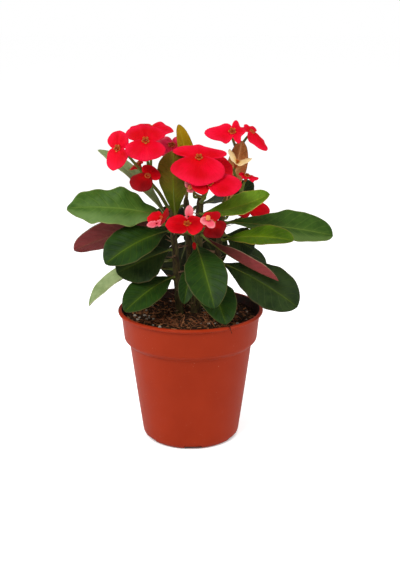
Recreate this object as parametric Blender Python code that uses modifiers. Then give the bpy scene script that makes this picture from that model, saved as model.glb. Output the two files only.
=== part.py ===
"""A potted crown of thorns, Euphorbia milii, in a 12 cm plastic nursery pot.

Each piece is one named object: the pot, the soil, four thorny stems, every leaf, every forked
flower stalk and every flower. The origin is the middle of the pot's base, +Z is up and the
plant's front faces -Y. Lengths are written in millimetres and turned into metres by MM.
"""

import math
from collections import namedtuple

import bmesh
import bpy
from mathutils import Matrix, Vector, noise

MM = 0.001
GAP = 0.4  # between pieces that touch on the real plant

# Pot: a drawn plastic shell with a collar and a turned-out lip.
POT_HEIGHT = 110.0
LIP_RADIUS = 60.0
LIP_HEIGHT = 2.2
COLLAR_TOP_RADIUS = 57.4
COLLAR_BOTTOM_RADIUS = 55.2
COLLAR_BOTTOM = 86.0
CREASE_RADIUS = 50.8
CREASE_HEIGHT = 81.5
FOOT_RADIUS = 41.0
FOOT_HEIGHT = 6.0
BASE_RADIUS = 37.0
WALL = 1.4
POT_STEPS = 40
FLOOR = 4.4
DRAIN_COUNT = 6
DRAIN_WIDTH = 14.0
DRAIN_HEIGHT = 3.0
DRAIN_DEPTH = 12.0
DRAIN_START = 273.0  # direction of the first notch, in degrees from +X

# Soil: its edge lies below the lip, and it rises a little towards the stems.
SOIL_EDGE = 102.0
SOIL_CROWN = 104.5
SOIL_ROUGHNESS = 1.2
SOIL_CLEARANCE = 0.5  # to the pot's wall and to the stems' rooted ends
SOIL_STEPS = 30
STEM_FOOT = 62.0  # how deep the stems are rooted

# Leaves and flowers.
LEAF_THICKNESS = 0.9
LEAF_FOOT = 1.2  # half width where a leaf meets its stem, and at its tip
LEAF_WEDGE = 1.5  # the higher, the narrower a leaf stays above its foot
LEAF_WAVES = 2.5  # along each margin
LEAF_ROW_SPACING = 1.2  # above 1, the rows of a leaf lie closer together towards its tip
LEAF_ACROSS = 4
LEAF_ALONG = 7
BRACT_THICKNESS = 0.7
BRACT_START = 0.9  # from the middle of the flower
BRACT_BROADEST = 0.42  # as a share of its length
BRACT_TAPER = 0.5  # towards its foot: above BRACT_BROADEST, so that it is still wide there
BRACT_DROOP = 0.06  # of its edges, as a share of its length
BRACT_ACROSS = 4
BRACT_ALONG = 3
CUP_RADIUS = 2.7
CUP_FOOT_RADIUS = 1.3
CUP_DEPTH = 4.5
CUP_RISE = 1.2
STALK_RADIUS = 1.5
BUD_RADIUS = 1.9

# Thorns, on the bare foot of each stem.
THORN_COUNT = 6
THORN_BAND = (112.0, 132.0)
THORN_LENGTH = 6.6
THORN_RADIUS = 0.8
GOLDEN_ANGLE = 137.5

Stem = namedtuple("Stem", "name path foot_radius tip_radius")
Leaf = namedtuple("Leaf", "name stem height tip face width arch fold wave side broadest",
                  defaults=[None, 0.6])
Flower = namedtuple("Flower", "name centre face toward length other width lift")
Cyme = namedtuple("Cyme", "name stem height side trunk flowers buds")

STEMS = [
    Stem("stem_left", [(-9, 2, STEM_FOOT), (-9, 2, 104), (-12, 0, 150), (-15, -2, 195)], 4.2, 2.7),
    Stem("stem_main", [(4, 4, STEM_FOOT), (4, 4, 104), (6, 3, 150), (8, 0, 204)], 5.2, 3.2),
    Stem("stem_right", [(17, 7, STEM_FOOT), (17, 7, 104), (22, 7, 150), (27, 6, 198)], 4.2, 2.7),
    Stem("stem_back", [(0, 21, STEM_FOOT), (0, 21, 104), (-1, 25, 150), (-4, 30, 198)], 4.2, 2.8),
]

# face: where the upper side looks. arch: rise of the midrib over the leaf's length.
# fold: how far each half lifts from flat, in degrees. wave: swing of the margin. side: where it
# leaves the stem, in degrees from +X, if not straight towards its tip. broadest: as a share of
# its length.
LEAVES = [
    Leaf("leaf_left_long", "stem_left", 187, (-98, -10, 196), (0.1, -0.75, 0.6), 35, 0.1, 10, 2.8, 195, 0.5),
    Leaf("leaf_left_purple", "stem_left", 181, (-97, 16, 155), (-0.5, 0.8, 0.35), 32, 0.06, 8, 0.8),
    Leaf("leaf_left_front", "stem_left", 176, (-66, -36, 157), (-0.15, -0.7, 0.7), 36, 0.1, 12, 0.8),
    Leaf("leaf_left_dark", "stem_left", 160, (-58, -24, 146), (-0.1, -0.85, 0.5), 38, 0.06, 8, 0.6, 205),
    Leaf("leaf_left_low", "stem_left", 143, (-62, 22, 126), (0.1, 0.1, 1.0), 26, 0.08, 10, 0.5),
    Leaf("leaf_left_drooping", "stem_left", 151, (-84, -2, 112), (-0.6, -0.3, 0.7), 26, 0.1, 24, 0.5),
    Leaf("leaf_left_soil", "stem_left", 137, (-51, -45, 121), (0.1, -0.6, 0.8), 28, 0.1, 12, 0.5),
    Leaf("leaf_left_upper", "stem_left", 185, (-76, 28, 237), (0.4, -0.4, 0.8), 18, 0.08, 12, 0.5, 150),
    Leaf("leaf_upright", "stem_left", 187, (-12.5, -14, 242), (0.15, 0.95, 0.2), 27, -0.1, 10, 0.4, 315, 0.74),
    Leaf("leaf_crown", "stem_main", 203, (-9, -1, 261), (0.3, 0.9, 0.3), 14, 0.05, 16, 0.2, 175),
    Leaf("leaf_right_upper", "stem_main", 190, (62, -20, 209), (-0.1, -0.65, 0.75), 22, -0.06, 12, 0.6, 285),
    Leaf("leaf_right_long", "stem_right", 181, (116, 2, 171), (0.1, -0.55, 0.83), 35, 0.03, 14, 1.0, 0, 0.7),
    Leaf("leaf_right_small", "stem_right", 167, (79, -46, 178), (0.0, -0.55, 0.83), 25, 0.05, 10, 0.4, 320),
    Leaf("leaf_right_purple", "stem_main", 172, (69, -41, 145), (0.3, 0.3, 0.9), 20, -0.04, 60, 0.3, 310),
    Leaf("leaf_right_broad", "stem_right", 147, (85, -33, 121), (-0.1, -0.75, 0.7), 38, 0.09, 8, 0.8, 330, 0.68),
    Leaf("leaf_right_behind", "stem_right", 160, (64, 30, 142), (0.0, -0.5, 0.85), 22, 0.04, 10, 0.4, 40),
    Leaf("leaf_right_dark", "stem_right", 170, (52, 12, 156), (0.0, -0.8, 0.6), 26, 0.1, 10, 0.4, 10, 0.5),
    Leaf("leaf_front", "stem_main", 164, (19, -59, 128), (-0.1, -0.6, 0.8), 34, 0.12, 12, 0.5, 250),
    Leaf("leaf_front_soil", "stem_main", 137, (28, -53, 113), (0.1, -0.5, 0.85), 31, 0.12, 10, 0.4, 305),
    Leaf("leaf_front_low", "stem_main", 150, (-5, -35, 124), (0.0, -0.7, 0.7), 15, 0.12, 10, 0.4, 235),
    Leaf("leaf_brown", "stem_right", 194, (41, 0, 248), (0.3, 0.9, 0.3), 17, 0.05, 16, 0.2, 40),
    Leaf("leaf_right_top", "stem_right", 184, (50, 24, 212), (0.0, -0.5, 0.85), 20, 0.06, 10, 0.4, 30),
    Leaf("leaf_back_left", "stem_back", 190, (-34, 62, 138), (-0.15, 0.95, 0.35), 38, 0.15, 8, 1.0, 150, 0.5),
    Leaf("leaf_back_right", "stem_back", 178, (24, 60, 130), (0.15, 0.95, 0.35), 38, 0.08, 8, 0.8, 50, 0.45),
    Leaf("leaf_back_side", "stem_back", 186, (42, 86, 184), (0.1, 0.75, 0.65), 33, 0.06, 10, 0.6, 30),
    Leaf("leaf_back_low", "stem_back", 160, (-14, 66, 114), (0.0, 0.93, 0.36), 40, 0.06, 10, 0.6, 110),
    Leaf("leaf_back_far_left", "stem_back", 166, (-74, 42, 150), (-0.2, 0.2, 0.95), 30, 0.12, 10, 0.6),
]

# toward: where the first of the two bracts points. length, other: of the first bract and of the
# one opposite. lift: how far both rise from flat, in degrees.
FLOWERS = [
    Flower("flower_left_front", (-34, -22, 251), (0.05, -0.85, 0.5), (0.0, -0.3, -0.95), 17, 13, 32, 5),
    Flower("flower_left_side", (-56, -14, 244), (-0.5, -0.8, 0.3), (0.0, -0.1, -1.0), 18, 14, 21, 10),
    Flower("flower_left_top", (-31, 5, 257), (0.0, -0.35, 0.95), (1.0, 0.0, -0.1), 18, 17, 26, 0),
    Flower("flower_left_low", (-33, -18, 223), (0.1, -0.75, 0.7), (-0.65, -0.3, -0.75), 18, 10, 18, 8),
    Flower("flower_left_back", (-42, 7, 228), (-0.6, -0.3, 0.7), (0.3, 0.2, -0.9), 8, 8, 12, 15),
    Flower("flower_middle", (-15, 17, 242), (0.0, -0.6, 0.8), (1.0, 0.0, 0.0), 12, 15, 23, 5),
    Flower("flower_centre_upper", (7, -22, 238), (0.0, -0.7, 0.7), (-0.1, -0.6, -0.8), 26, 13, 44, 0),
    Flower("flower_centre_lower", (15, -32, 220), (0.1, -0.8, 0.6), (1.0, 0.0, -0.05), 25, 15, 20, 4),
    Flower("flower_centre_back", (20, -11, 227), (0.2, -0.8, 0.6), (0.8, 0.1, 0.3), 14, 9, 24, 4),
    Flower("flower_right_front", (33, -6, 256), (0.0, -0.75, 0.65), (-1.0, 0.0, -0.1), 22, 11, 22, 0),
    Flower("flower_right_side", (49, 8, 254), (0.6, -0.35, 0.75), (0.65, -0.5, -0.6), 20, 9, 25, 0),
    Flower("flower_cream", (37, -3, 231), (0.3, -0.3, 0.85), (-0.8, 0.0, 0.6), 10, 10, 12, 40),
    Flower("flower_right_small", (45, -1, 220), (0.3, -0.2, 0.9), (1.0, 0.2, -0.4), 10, 7, 16, 5),
    Flower("flower_right_low", (49, 17, 190), (0.1, -0.7, 0.7), (1.0, 0.0, 0.0), 17, 15, 20, 0),
    Flower("flower_front", (-2, -38, 189), (0.0, -0.5, 0.87), (1.0, 0.0, 0.0), 13, 17, 22, 5),
    Flower("flower_front_right", (17, -26, 187), (0.2, -0.85, 0.5), (0.5, -0.3, -0.8), 13, 10, 22, 6),
    Flower("flower_front_left", (-23, -22, 190), (-0.5, -0.5, 0.7), (-0.8, 0.2, 0.0), 10, 10, 16, 25),
    Flower("flower_back_left", (-12, 48, 218), (-0.2, 0.6, 0.8), (-1.0, 0.0, 0.0), 16, 16, 24, 5),
    Flower("flower_back_right", (16, 46, 212), (0.3, 0.6, 0.7), (1.0, 0.1, 0.0), 15, 15, 22, 5),
]

CYMES = [
    Cyme("flower_stalk_left", "stem_left", 193, 120, [(-25, 6, 205), (-32, 4, 214)],
         ["flower_left_front", "flower_left_side", "flower_left_top", "flower_left_low",
          "flower_left_back"], []),
    Cyme("flower_stalk_middle", "stem_left", 193, 50, [(-10, 9, 205)], ["flower_middle"], []),
    Cyme("flower_stalk_centre", "stem_main", 200, 280, [(11, -14, 205)],
         ["flower_centre_upper", "flower_centre_lower", "flower_centre_back"], [(0, -20, 213)]),
    Cyme("flower_stalk_top_right", "stem_right", 195, 90, [(32, 17, 208), (38, 18, 226), (38, 15, 238)],
         ["flower_right_front", "flower_right_side"], []),
    Cyme("flower_stalk_right", "stem_right", 190, 345, [(38, 1, 201), (41, 1, 207)],
         ["flower_cream", "flower_right_small"], []),
    Cyme("flower_stalk_low_right", "stem_right", 179, 45, [(38, 17, 180)], ["flower_right_low"], []),
    Cyme("flower_stalk_front", "stem_main", 176, 255, [(2, -16, 176)],
         ["flower_front", "flower_front_right", "flower_front_left"], [(14, -39, 193), (3, -30, 173)]),
    Cyme("flower_stalk_back", "stem_back", 194, 90, [(-3, 40, 202)],
         ["flower_back_left", "flower_back_right"], []),
]


def clear_scene():
    for obj in list(bpy.data.objects):
        bpy.data.objects.remove(obj)


def new_collection(name):
    collection = bpy.data.collections.new(name)
    bpy.context.scene.collection.children.link(collection)
    return collection


def new_material(name, colour, roughness):
    material = bpy.data.materials.new(name)
    material.use_nodes = True
    shader = material.node_tree.nodes["Principled BSDF"]
    shader.inputs["Base Color"].default_value = (*colour, 1.0)
    shader.inputs["Roughness"].default_value = roughness
    shader.inputs["Metallic"].default_value = 0.0
    material.diffuse_color = (*colour, 1.0)
    return material


def add_piece(name, mesh, material, collection):
    mesh.materials.clear()
    mesh.materials.append(material)
    obj = bpy.data.objects.new(name, mesh)
    collection.objects.link(obj)
    return obj


def add_helper(name, mesh, collection):
    """A cutter or a shape to be joined: it is left out of the render and of the part."""
    obj = bpy.data.objects.new(name, mesh)
    collection.objects.link(obj)
    obj.hide_render = True
    obj.display_type = "WIRE"
    return obj


def add_boolean(obj, other, operation):
    modifier = obj.modifiers.new(other.name, "BOOLEAN")
    modifier.object = other
    modifier.operation = operation
    modifier.solver = "EXACT"


def smooth_round(mesh, angle=35):
    mesh.shade_smooth()
    mesh.set_sharp_from_angle(angle=math.radians(angle))


def mesh_from(bm, name):
    mesh = bpy.data.meshes.new(name)
    bm.to_mesh(mesh)
    bm.free()
    return mesh


def turned_mesh(name, profile, steps):
    """The solid that a profile of (radius, height) makes about Z: down its outer side."""
    mesh = bpy.data.meshes.new(name + "_profile")
    points = [(r * MM, 0, z * MM) for r, z in profile]
    mesh.from_pydata(points, [(i, i + 1) for i in range(len(points) - 1)], [])
    obj = bpy.data.objects.new(name + "_profile", mesh)
    bpy.context.scene.collection.objects.link(obj)
    screw = obj.modifiers.new("turn", "SCREW")
    screw.steps = screw.render_steps = steps
    screw.use_merge_vertices = True
    screw.merge_threshold = 0.00001
    screw.use_smooth_shade = True
    turned = bpy.data.meshes.new_from_object(obj.evaluated_get(bpy.context.evaluated_depsgraph_get()))
    turned.name = name
    bpy.data.objects.remove(obj)
    return turned


def smooth_path(points, steps):
    """Points on the Catmull-Rom curve through the given ones, `steps` to each stretch."""
    knots = [Vector(p) for p in points]
    knots = [2 * knots[0] - knots[1], *knots, 2 * knots[-1] - knots[-2]]
    path = []
    for a, b, c, d in zip(knots, knots[1:], knots[2:], knots[3:]):
        for i in range(steps):
            t = i / steps
            path.append(0.5 * (2 * b + (c - a) * t + (2 * a - 5 * b + 4 * c - d) * t**2
                               + (3 * b - a - 3 * c + d) * t**3))
    return [*path, knots[-2]]


def tube_mesh(name, path, foot_radius, tip_radius, resolution=1):
    """A closed tapered tube along a path in millimetres."""
    curve = bpy.data.curves.new(name, "CURVE")
    curve.dimensions = "3D"
    curve.bevel_depth = MM
    curve.bevel_resolution = resolution
    curve.use_fill_caps = True
    spline = curve.splines.new("POLY")
    spline.points.add(len(path) - 1)
    for i, (point, place) in enumerate(zip(spline.points, path)):
        point.co = (*(place * MM), 1)
        point.radius = foot_radius + (tip_radius - foot_radius) * i / (len(path) - 1)
    obj = bpy.data.objects.new(name, curve)
    bpy.context.scene.collection.objects.link(obj)
    mesh = bpy.data.meshes.new_from_object(obj.evaluated_get(bpy.context.evaluated_depsgraph_get()))
    bpy.data.objects.remove(obj)
    bm = bmesh.new()
    bm.from_mesh(mesh)
    bmesh.ops.remove_doubles(bm, verts=bm.verts, dist=0.00001)
    bmesh.ops.recalc_face_normals(bm, faces=bm.faces)
    bm.to_mesh(mesh)
    bm.free()
    smooth_round(mesh)
    return mesh


def stem_at(stem, height):
    """Centre and radius of a stem at a height, both in millimetres."""
    path = smooth_path(stem.path, 8)
    for i, (low, high) in enumerate(zip(path, path[1:])):
        if low.z <= height <= high.z or i == len(path) - 2:
            share = (height - low.z) / (high.z - low.z)
            along = (i + share) / (len(path) - 1)
            return low.lerp(high, share), stem.foot_radius + (stem.tip_radius - stem.foot_radius) * along
    raise ValueError(f"{stem.name} doesn't reach {height} mm")


def foot_on_stem(stem, height, side):
    """Where a leaf or stalk starts, just off the stem's bark, and the way out from there."""
    centre, radius = stem_at(stem, height)
    out = Vector((math.cos(math.radians(side)), math.sin(math.radians(side)), 0))
    return centre + out * (radius + GAP), out


def bezier(a, b, c, t):
    return (1 - t) ** 2 * a + 2 * t * (1 - t) * b + t**2 * c


def bezier_tangent(a, b, c, t):
    return (2 * (1 - t) * (b - a) + 2 * t * (c - b)).normalized()


def leaf_half_width(leaf, t):
    """Wedge-shaped at the foot, broadest beyond the middle and round at the tip."""
    if t < leaf.broadest:
        share = math.sin(math.pi / 2 * t / leaf.broadest) ** LEAF_WEDGE
    else:
        share = math.sqrt(max(0.0, 1 - ((t - leaf.broadest) / (1 - leaf.broadest)) ** 2))
    return LEAF_FOOT + (leaf.width / 2 - LEAF_FOOT) * share


def leaf_point(leaf, foot, u, t):
    """A point of the blade: u runs from -1 to 1 across it and t from 0 to 1 along it."""
    tip, face = Vector(leaf.tip), Vector(leaf.face).normalized()
    chord = tip - foot
    up = (face - face.project(chord)).normalized()
    middle = (foot + tip) / 2 + up * leaf.arch * chord.length * 2
    along = bezier_tangent(foot, middle, tip, t)
    normal = (face - face.project(along)).normalized()
    across = along.cross(normal)
    half = leaf_half_width(leaf, t) * abs(u)
    fold = math.radians(leaf.fold)
    ripple = leaf.wave * u * u * math.sin(2 * math.pi * LEAF_WAVES * t + u)
    place = bezier(foot, middle, tip, t)
    place += across * math.copysign(half * math.cos(fold), u)
    return place + normal * (half * math.sin(fold) + ripple)


def sheet_mesh(name, point, across, along):
    """A grid shaped by point(u, t)."""
    bm = bmesh.new()
    bmesh.ops.create_grid(bm, x_segments=across, y_segments=along, size=1)
    for vertex in bm.verts:
        vertex.co = point(vertex.co.x, (vertex.co.y + 1) / 2) * MM
    bmesh.ops.recalc_face_normals(bm, faces=bm.faces)
    return mesh_from(bm, name)


def thicken(obj, thickness):
    modifier = obj.modifiers.new("thickness", "SOLIDIFY")
    modifier.thickness = thickness * MM
    modifier.offset = 0


def add_leaf(leaf, stems, material, collection):
    stem = stems[leaf.stem]
    centre, _ = stem_at(stem, leaf.height)
    straight = math.degrees(math.atan2(leaf.tip[1] - centre.y, leaf.tip[0] - centre.x))
    foot, out = foot_on_stem(stem, leaf.height, straight if leaf.side is None else leaf.side)
    foot += out * LEAF_THICKNESS
    mesh = sheet_mesh(leaf.name, lambda u, t: leaf_point(leaf, foot, u, 1 - (1 - t) ** LEAF_ROW_SPACING),
                      LEAF_ACROSS, LEAF_ALONG)
    mesh.shade_smooth()
    thicken(add_piece(leaf.name, mesh, material, collection), LEAF_THICKNESS)


def flower_matrix(flower):
    """Local +Z looks where the flower faces, and local +X along its first bract."""
    z = Vector(flower.face).normalized()
    x = Vector(flower.toward)
    x = (x - x.project(z)).normalized()
    turn = Matrix((x, z.cross(x), z)).transposed().to_4x4()
    return Matrix.Translation(Vector(flower.centre)) @ turn


def bract_point(flower, length, turn, u, t):
    """A point of one kidney-shaped bract, which leaves the middle along +X turned by `turn`."""
    if t < BRACT_BROADEST:
        narrowing = (BRACT_BROADEST - t) / BRACT_TAPER
    else:
        narrowing = (t - BRACT_BROADEST) / (1 - BRACT_BROADEST)
    half = max(1.0, flower.width / 2 * math.sqrt(max(0.0, 1 - narrowing**2)))
    lift = math.radians(flower.lift)
    reach = BRACT_START + (length - BRACT_START) * t
    droop = BRACT_DROOP * length * (u * u + t * t)
    local = Vector((reach * math.cos(lift), half * u, reach * math.sin(lift) - droop))
    return Matrix.Rotation(turn, 3, "Z") @ local


def bract_mesh(flower, length, matrix, turn):
    """The sheet of one bract made solid, so that it can be joined to the cup."""
    mesh = sheet_mesh("bract", lambda u, t: matrix @ bract_point(flower, length, turn, u, t),
                      BRACT_ACROSS, BRACT_ALONG)
    obj = bpy.data.objects.new("bract", mesh)
    bpy.context.scene.collection.objects.link(obj)
    thicken(obj, BRACT_THICKNESS)
    solid = bpy.data.meshes.new_from_object(obj.evaluated_get(bpy.context.evaluated_depsgraph_get()))
    bpy.data.objects.remove(obj)
    return solid


def cup_mesh(flower, matrix):
    """The small cup between the bracts, with its foot where the stalk ends."""
    bm = bmesh.new()
    middle = Matrix.Translation((0, 0, (CUP_RISE - CUP_DEPTH) / 2))
    bmesh.ops.create_cone(bm, segments=8, cap_ends=True, radius1=CUP_FOOT_RADIUS, radius2=CUP_RADIUS,
                          depth=CUP_RISE + CUP_DEPTH, matrix=matrix @ middle)
    bmesh.ops.scale(bm, vec=(MM, MM, MM), verts=bm.verts)
    return mesh_from(bm, flower.name)


def add_flower(flower, material, collection, helpers):
    matrix = flower_matrix(flower)
    obj = add_piece(flower.name, cup_mesh(flower, matrix), material, collection)
    for side, length, turn in (("first", flower.length, 0.0), ("second", flower.other, math.pi)):
        bract = bract_mesh(flower, length, matrix, turn)
        add_boolean(obj, add_helper(f"{flower.name}_{side}_bract", bract, helpers), "UNION")


def branch_path(fork, flower):
    """From a fork to a flower's foot, arriving along the flower's own axis."""
    face = Vector(flower.face).normalized()
    foot = Vector(flower.centre) - face * (CUP_DEPTH + GAP)
    before = foot - face * 3
    return [*smooth_path([fork, (fork + before) / 2 - face, before], 2), foot]


def ball_mesh(place, radius):
    bm = bmesh.new()
    bmesh.ops.create_uvsphere(bm, u_segments=8, v_segments=6, radius=radius * MM,
                              matrix=Matrix.Translation(Vector(place) * MM))
    return mesh_from(bm, "ball")


def add_cyme(cyme, stems, flowers, material, collection, helpers):
    """One flower stalk: a trunk from the stem, and a branch to each flower and bud."""
    foot, out = foot_on_stem(stems[cyme.stem], cyme.height, cyme.side)
    trunk = [foot, *smooth_path([foot + out * 2.5, *cyme.trunk], 2)]
    obj = add_piece(cyme.name, tube_mesh(cyme.name, trunk, STALK_RADIUS, STALK_RADIUS), material, collection)
    fork = trunk[-1]
    shapes = [ball_mesh(fork, STALK_RADIUS * 1.3)]
    for name in cyme.flowers:
        shapes.append(tube_mesh("branch", branch_path(fork, flowers[name]), STALK_RADIUS * 0.9,
                                STALK_RADIUS * 0.7))
    for bud in cyme.buds:
        path = smooth_path([fork, (fork + Vector(bud)) / 2 + Vector((0, 0, -1)), Vector(bud)], 2)
        shapes.append(tube_mesh("branch", path, STALK_RADIUS * 0.8, STALK_RADIUS * 0.6))
        shapes.append(ball_mesh(bud, BUD_RADIUS))
    for i, mesh in enumerate(shapes):
        add_boolean(obj, add_helper(f"{cyme.name}_branch_{i}", mesh, helpers), "UNION")


def thorn_mesh(stem):
    """Slender thorns in a spiral about the bare part of a stem, as one mesh of separate cones."""
    bm = bmesh.new()
    low, high = THORN_BAND
    for i in range(THORN_COUNT):
        centre, radius = stem_at(stem, low + (high - low) * (i + 0.5) / THORN_COUNT)
        angle = math.radians(GOLDEN_ANGLE * i)
        out = Vector((math.cos(angle), math.sin(angle), 0.25)).normalized()
        turn = out.to_track_quat("Z", "Y").to_matrix().to_4x4()
        middle = Matrix.Translation((centre + out * (radius + 0.4 * THORN_LENGTH)) * MM)
        bmesh.ops.create_cone(bm, segments=5, cap_ends=True, radius1=THORN_RADIUS * MM,
                              radius2=THORN_RADIUS / 8 * MM, depth=THORN_LENGTH * MM, matrix=middle @ turn)
    return mesh_from(bm, stem.name + "_thorns")


def add_stem(stem, material, collection, helpers):
    mesh = tube_mesh(stem.name, smooth_path(stem.path, 3), stem.foot_radius, stem.tip_radius, 2)
    obj = add_piece(stem.name, mesh, material, collection)
    add_boolean(obj, add_helper(stem.name + "_thorns", thorn_mesh(stem), helpers), "UNION")


def wall_inside(height):
    """Inner radius of the pot at a height."""
    outline = [(FOOT_RADIUS, FOOT_HEIGHT), (CREASE_RADIUS, CREASE_HEIGHT),
               (COLLAR_BOTTOM_RADIUS, COLLAR_BOTTOM), (COLLAR_TOP_RADIUS, POT_HEIGHT)]
    for (r0, z0), (r1, z1) in zip(outline, outline[1:]):
        if height <= z1:
            return r0 + (r1 - r0) * (height - z0) / (z1 - z0) - WALL
    return COLLAR_TOP_RADIUS - WALL


def drain_cutters():
    """Notches across the foot rim, which let water out from under the pot; one faces the front."""
    bm = bmesh.new()
    for i in range(DRAIN_COUNT):
        angle = math.radians(DRAIN_START + 360 * i / DRAIN_COUNT)
        place = Matrix.Rotation(angle, 4, "Z") @ Matrix.Translation(Vector((FOOT_RADIUS - 1, 0, 0)) * MM)
        size = Matrix.Diagonal((DRAIN_DEPTH * MM, DRAIN_WIDTH * MM, 2 * DRAIN_HEIGHT * MM, 1))
        bmesh.ops.create_cube(bm, size=1, matrix=place @ size)
    return mesh_from(bm, "drain_cutters")


def add_pot(material, collection, helpers):
    inner = [(0, FLOOR), (BASE_RADIUS - 1, FLOOR), (FOOT_RADIUS - WALL, FOOT_HEIGHT + DRAIN_HEIGHT),
             (CREASE_RADIUS - WALL, CREASE_HEIGHT), (COLLAR_BOTTOM_RADIUS - WALL, COLLAR_BOTTOM),
             (COLLAR_TOP_RADIUS - WALL, POT_HEIGHT - 0.8), (COLLAR_TOP_RADIUS - WALL + 0.8, POT_HEIGHT)]
    outer = [(LIP_RADIUS - 0.7, POT_HEIGHT), (LIP_RADIUS, POT_HEIGHT - 0.8),
             (LIP_RADIUS - 0.2, POT_HEIGHT - LIP_HEIGHT),
             (COLLAR_TOP_RADIUS, POT_HEIGHT - LIP_HEIGHT - 0.6),
             (COLLAR_BOTTOM_RADIUS, COLLAR_BOTTOM), (COLLAR_BOTTOM_RADIUS - 1.6, COLLAR_BOTTOM - 2.6),
             (CREASE_RADIUS, CREASE_HEIGHT), (FOOT_RADIUS, FOOT_HEIGHT),
             (FOOT_RADIUS - 1.2, 1.8), (BASE_RADIUS, 0), (0, 0)]
    mesh = turned_mesh("pot", inner + outer, POT_STEPS)
    smooth_round(mesh)
    pot = add_piece("pot", mesh, material, collection)
    add_boolean(pot, add_helper("drain_cutters", drain_cutters(), helpers), "DIFFERENCE")


def soil_mesh():
    """The soil's body: a crumbly top that rises to the middle, and sides that follow the pot."""
    rim = wall_inside(SOIL_EDGE) - SOIL_CLEARANCE
    fall = SOIL_CROWN - SOIL_EDGE
    top = [(rim * k / 5, SOIL_CROWN - fall * (k / 5) ** 2) for k in range(5)]
    heights = (SOIL_EDGE, COLLAR_BOTTOM, CREASE_HEIGHT, FOOT_HEIGHT + DRAIN_HEIGHT)
    side = [(wall_inside(h) - SOIL_CLEARANCE, h) for h in heights]
    floor = FLOOR + SOIL_CLEARANCE
    mesh = turned_mesh("soil", [*top, *side, (BASE_RADIUS - 2, floor), (0, floor)], SOIL_STEPS)
    for vertex in mesh.vertices:
        if vertex.co.z > (SOIL_EDGE - 0.1) * MM and vertex.co.xy.length < 0.98 * rim * MM:
            vertex.co.z += SOIL_ROUGHNESS * MM * noise.noise(vertex.co * 90)
    return mesh


def add_soil(material, collection, helpers):
    """Fills the pot to just below its lip, with a well for each stem's rooted end."""
    soil = add_piece("soil", soil_mesh(), material, collection)
    bm = bmesh.new()
    for stem in STEMS:
        reach = (stem.foot_radius + SOIL_CLEARANCE) * MM
        low, high = STEM_FOOT - GAP, POT_HEIGHT
        middle = Matrix.Translation(Vector((*stem.path[0][:2], (low + high) / 2)) * MM)
        bmesh.ops.create_cone(bm, segments=12, cap_ends=True, radius1=reach, radius2=reach,
                              depth=(high - low) * MM, matrix=middle)
    add_boolean(soil, add_helper("stem_wells", mesh_from(bm, "stem_wells"), helpers), "DIFFERENCE")


def main():
    clear_scene()
    parts = new_collection("potted_euphorbia")
    helpers = new_collection("helpers")
    plastic = new_material("terracotta_plastic", (0.40, 0.075, 0.03), 0.4)
    soil = new_material("potting_soil", (0.045, 0.022, 0.012), 0.95)
    bark = new_material("bark", (0.13, 0.09, 0.05), 0.8)
    green = new_material("leaf_green", (0.03, 0.12, 0.02), 0.4)
    stalk = new_material("stalk_green", (0.16, 0.20, 0.04), 0.5)
    red = new_material("bract_red", (0.75, 0.005, 0.02), 0.5)
    stems = {stem.name: stem for stem in STEMS}
    flowers = {flower.name: flower for flower in FLOWERS}
    add_pot(plastic, parts, helpers)
    add_soil(soil, parts, helpers)
    for stem in STEMS:
        add_stem(stem, bark, parts, helpers)
    for leaf in LEAVES:
        add_leaf(leaf, stems, green, parts)
    for flower in FLOWERS:
        add_flower(flower, red, parts, helpers)
    for cyme in CYMES:
        add_cyme(cyme, stems, flowers, stalk, parts, helpers)


main()
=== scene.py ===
# %% [markdown]
# # A potted crown of thorns
# The plant is Euphorbia milii in a plastic nursery pot: thorny stems, leathery leaves, and small
# flowers that each sit between two red bracts. The plain solids of every piece come from the packed
# frame. This file makes the fine piece that stands in each one's place, in the same position.

# %% The frame and its size
import math
import random
from collections import namedtuple

import bmesh
import bpy
from mathutils import Matrix, Vector, noise


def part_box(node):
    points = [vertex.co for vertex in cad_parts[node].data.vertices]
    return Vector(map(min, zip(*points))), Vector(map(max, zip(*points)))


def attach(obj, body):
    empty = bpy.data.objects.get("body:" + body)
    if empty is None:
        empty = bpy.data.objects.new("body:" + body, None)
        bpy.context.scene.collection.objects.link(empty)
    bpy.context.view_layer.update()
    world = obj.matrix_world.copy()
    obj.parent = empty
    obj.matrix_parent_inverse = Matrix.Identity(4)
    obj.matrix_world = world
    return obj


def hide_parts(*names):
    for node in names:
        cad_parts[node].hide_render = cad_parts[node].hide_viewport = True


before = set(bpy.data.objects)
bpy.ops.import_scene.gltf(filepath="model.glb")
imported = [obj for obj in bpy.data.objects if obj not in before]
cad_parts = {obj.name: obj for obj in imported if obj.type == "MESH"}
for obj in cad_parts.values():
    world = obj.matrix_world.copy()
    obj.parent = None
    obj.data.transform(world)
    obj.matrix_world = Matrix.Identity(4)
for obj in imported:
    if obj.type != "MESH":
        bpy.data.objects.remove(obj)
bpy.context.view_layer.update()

MM = 0.001

# %% [markdown]
# ## Shader maths as arithmetic
# A finish is mostly sums on noise and distance. Placing Math nodes by hand hides the sum, so a
# small class wraps one socket and adds the node behind each operator. Colours would turn grey in a
# Math node, so they go through Mix instead.

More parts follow.
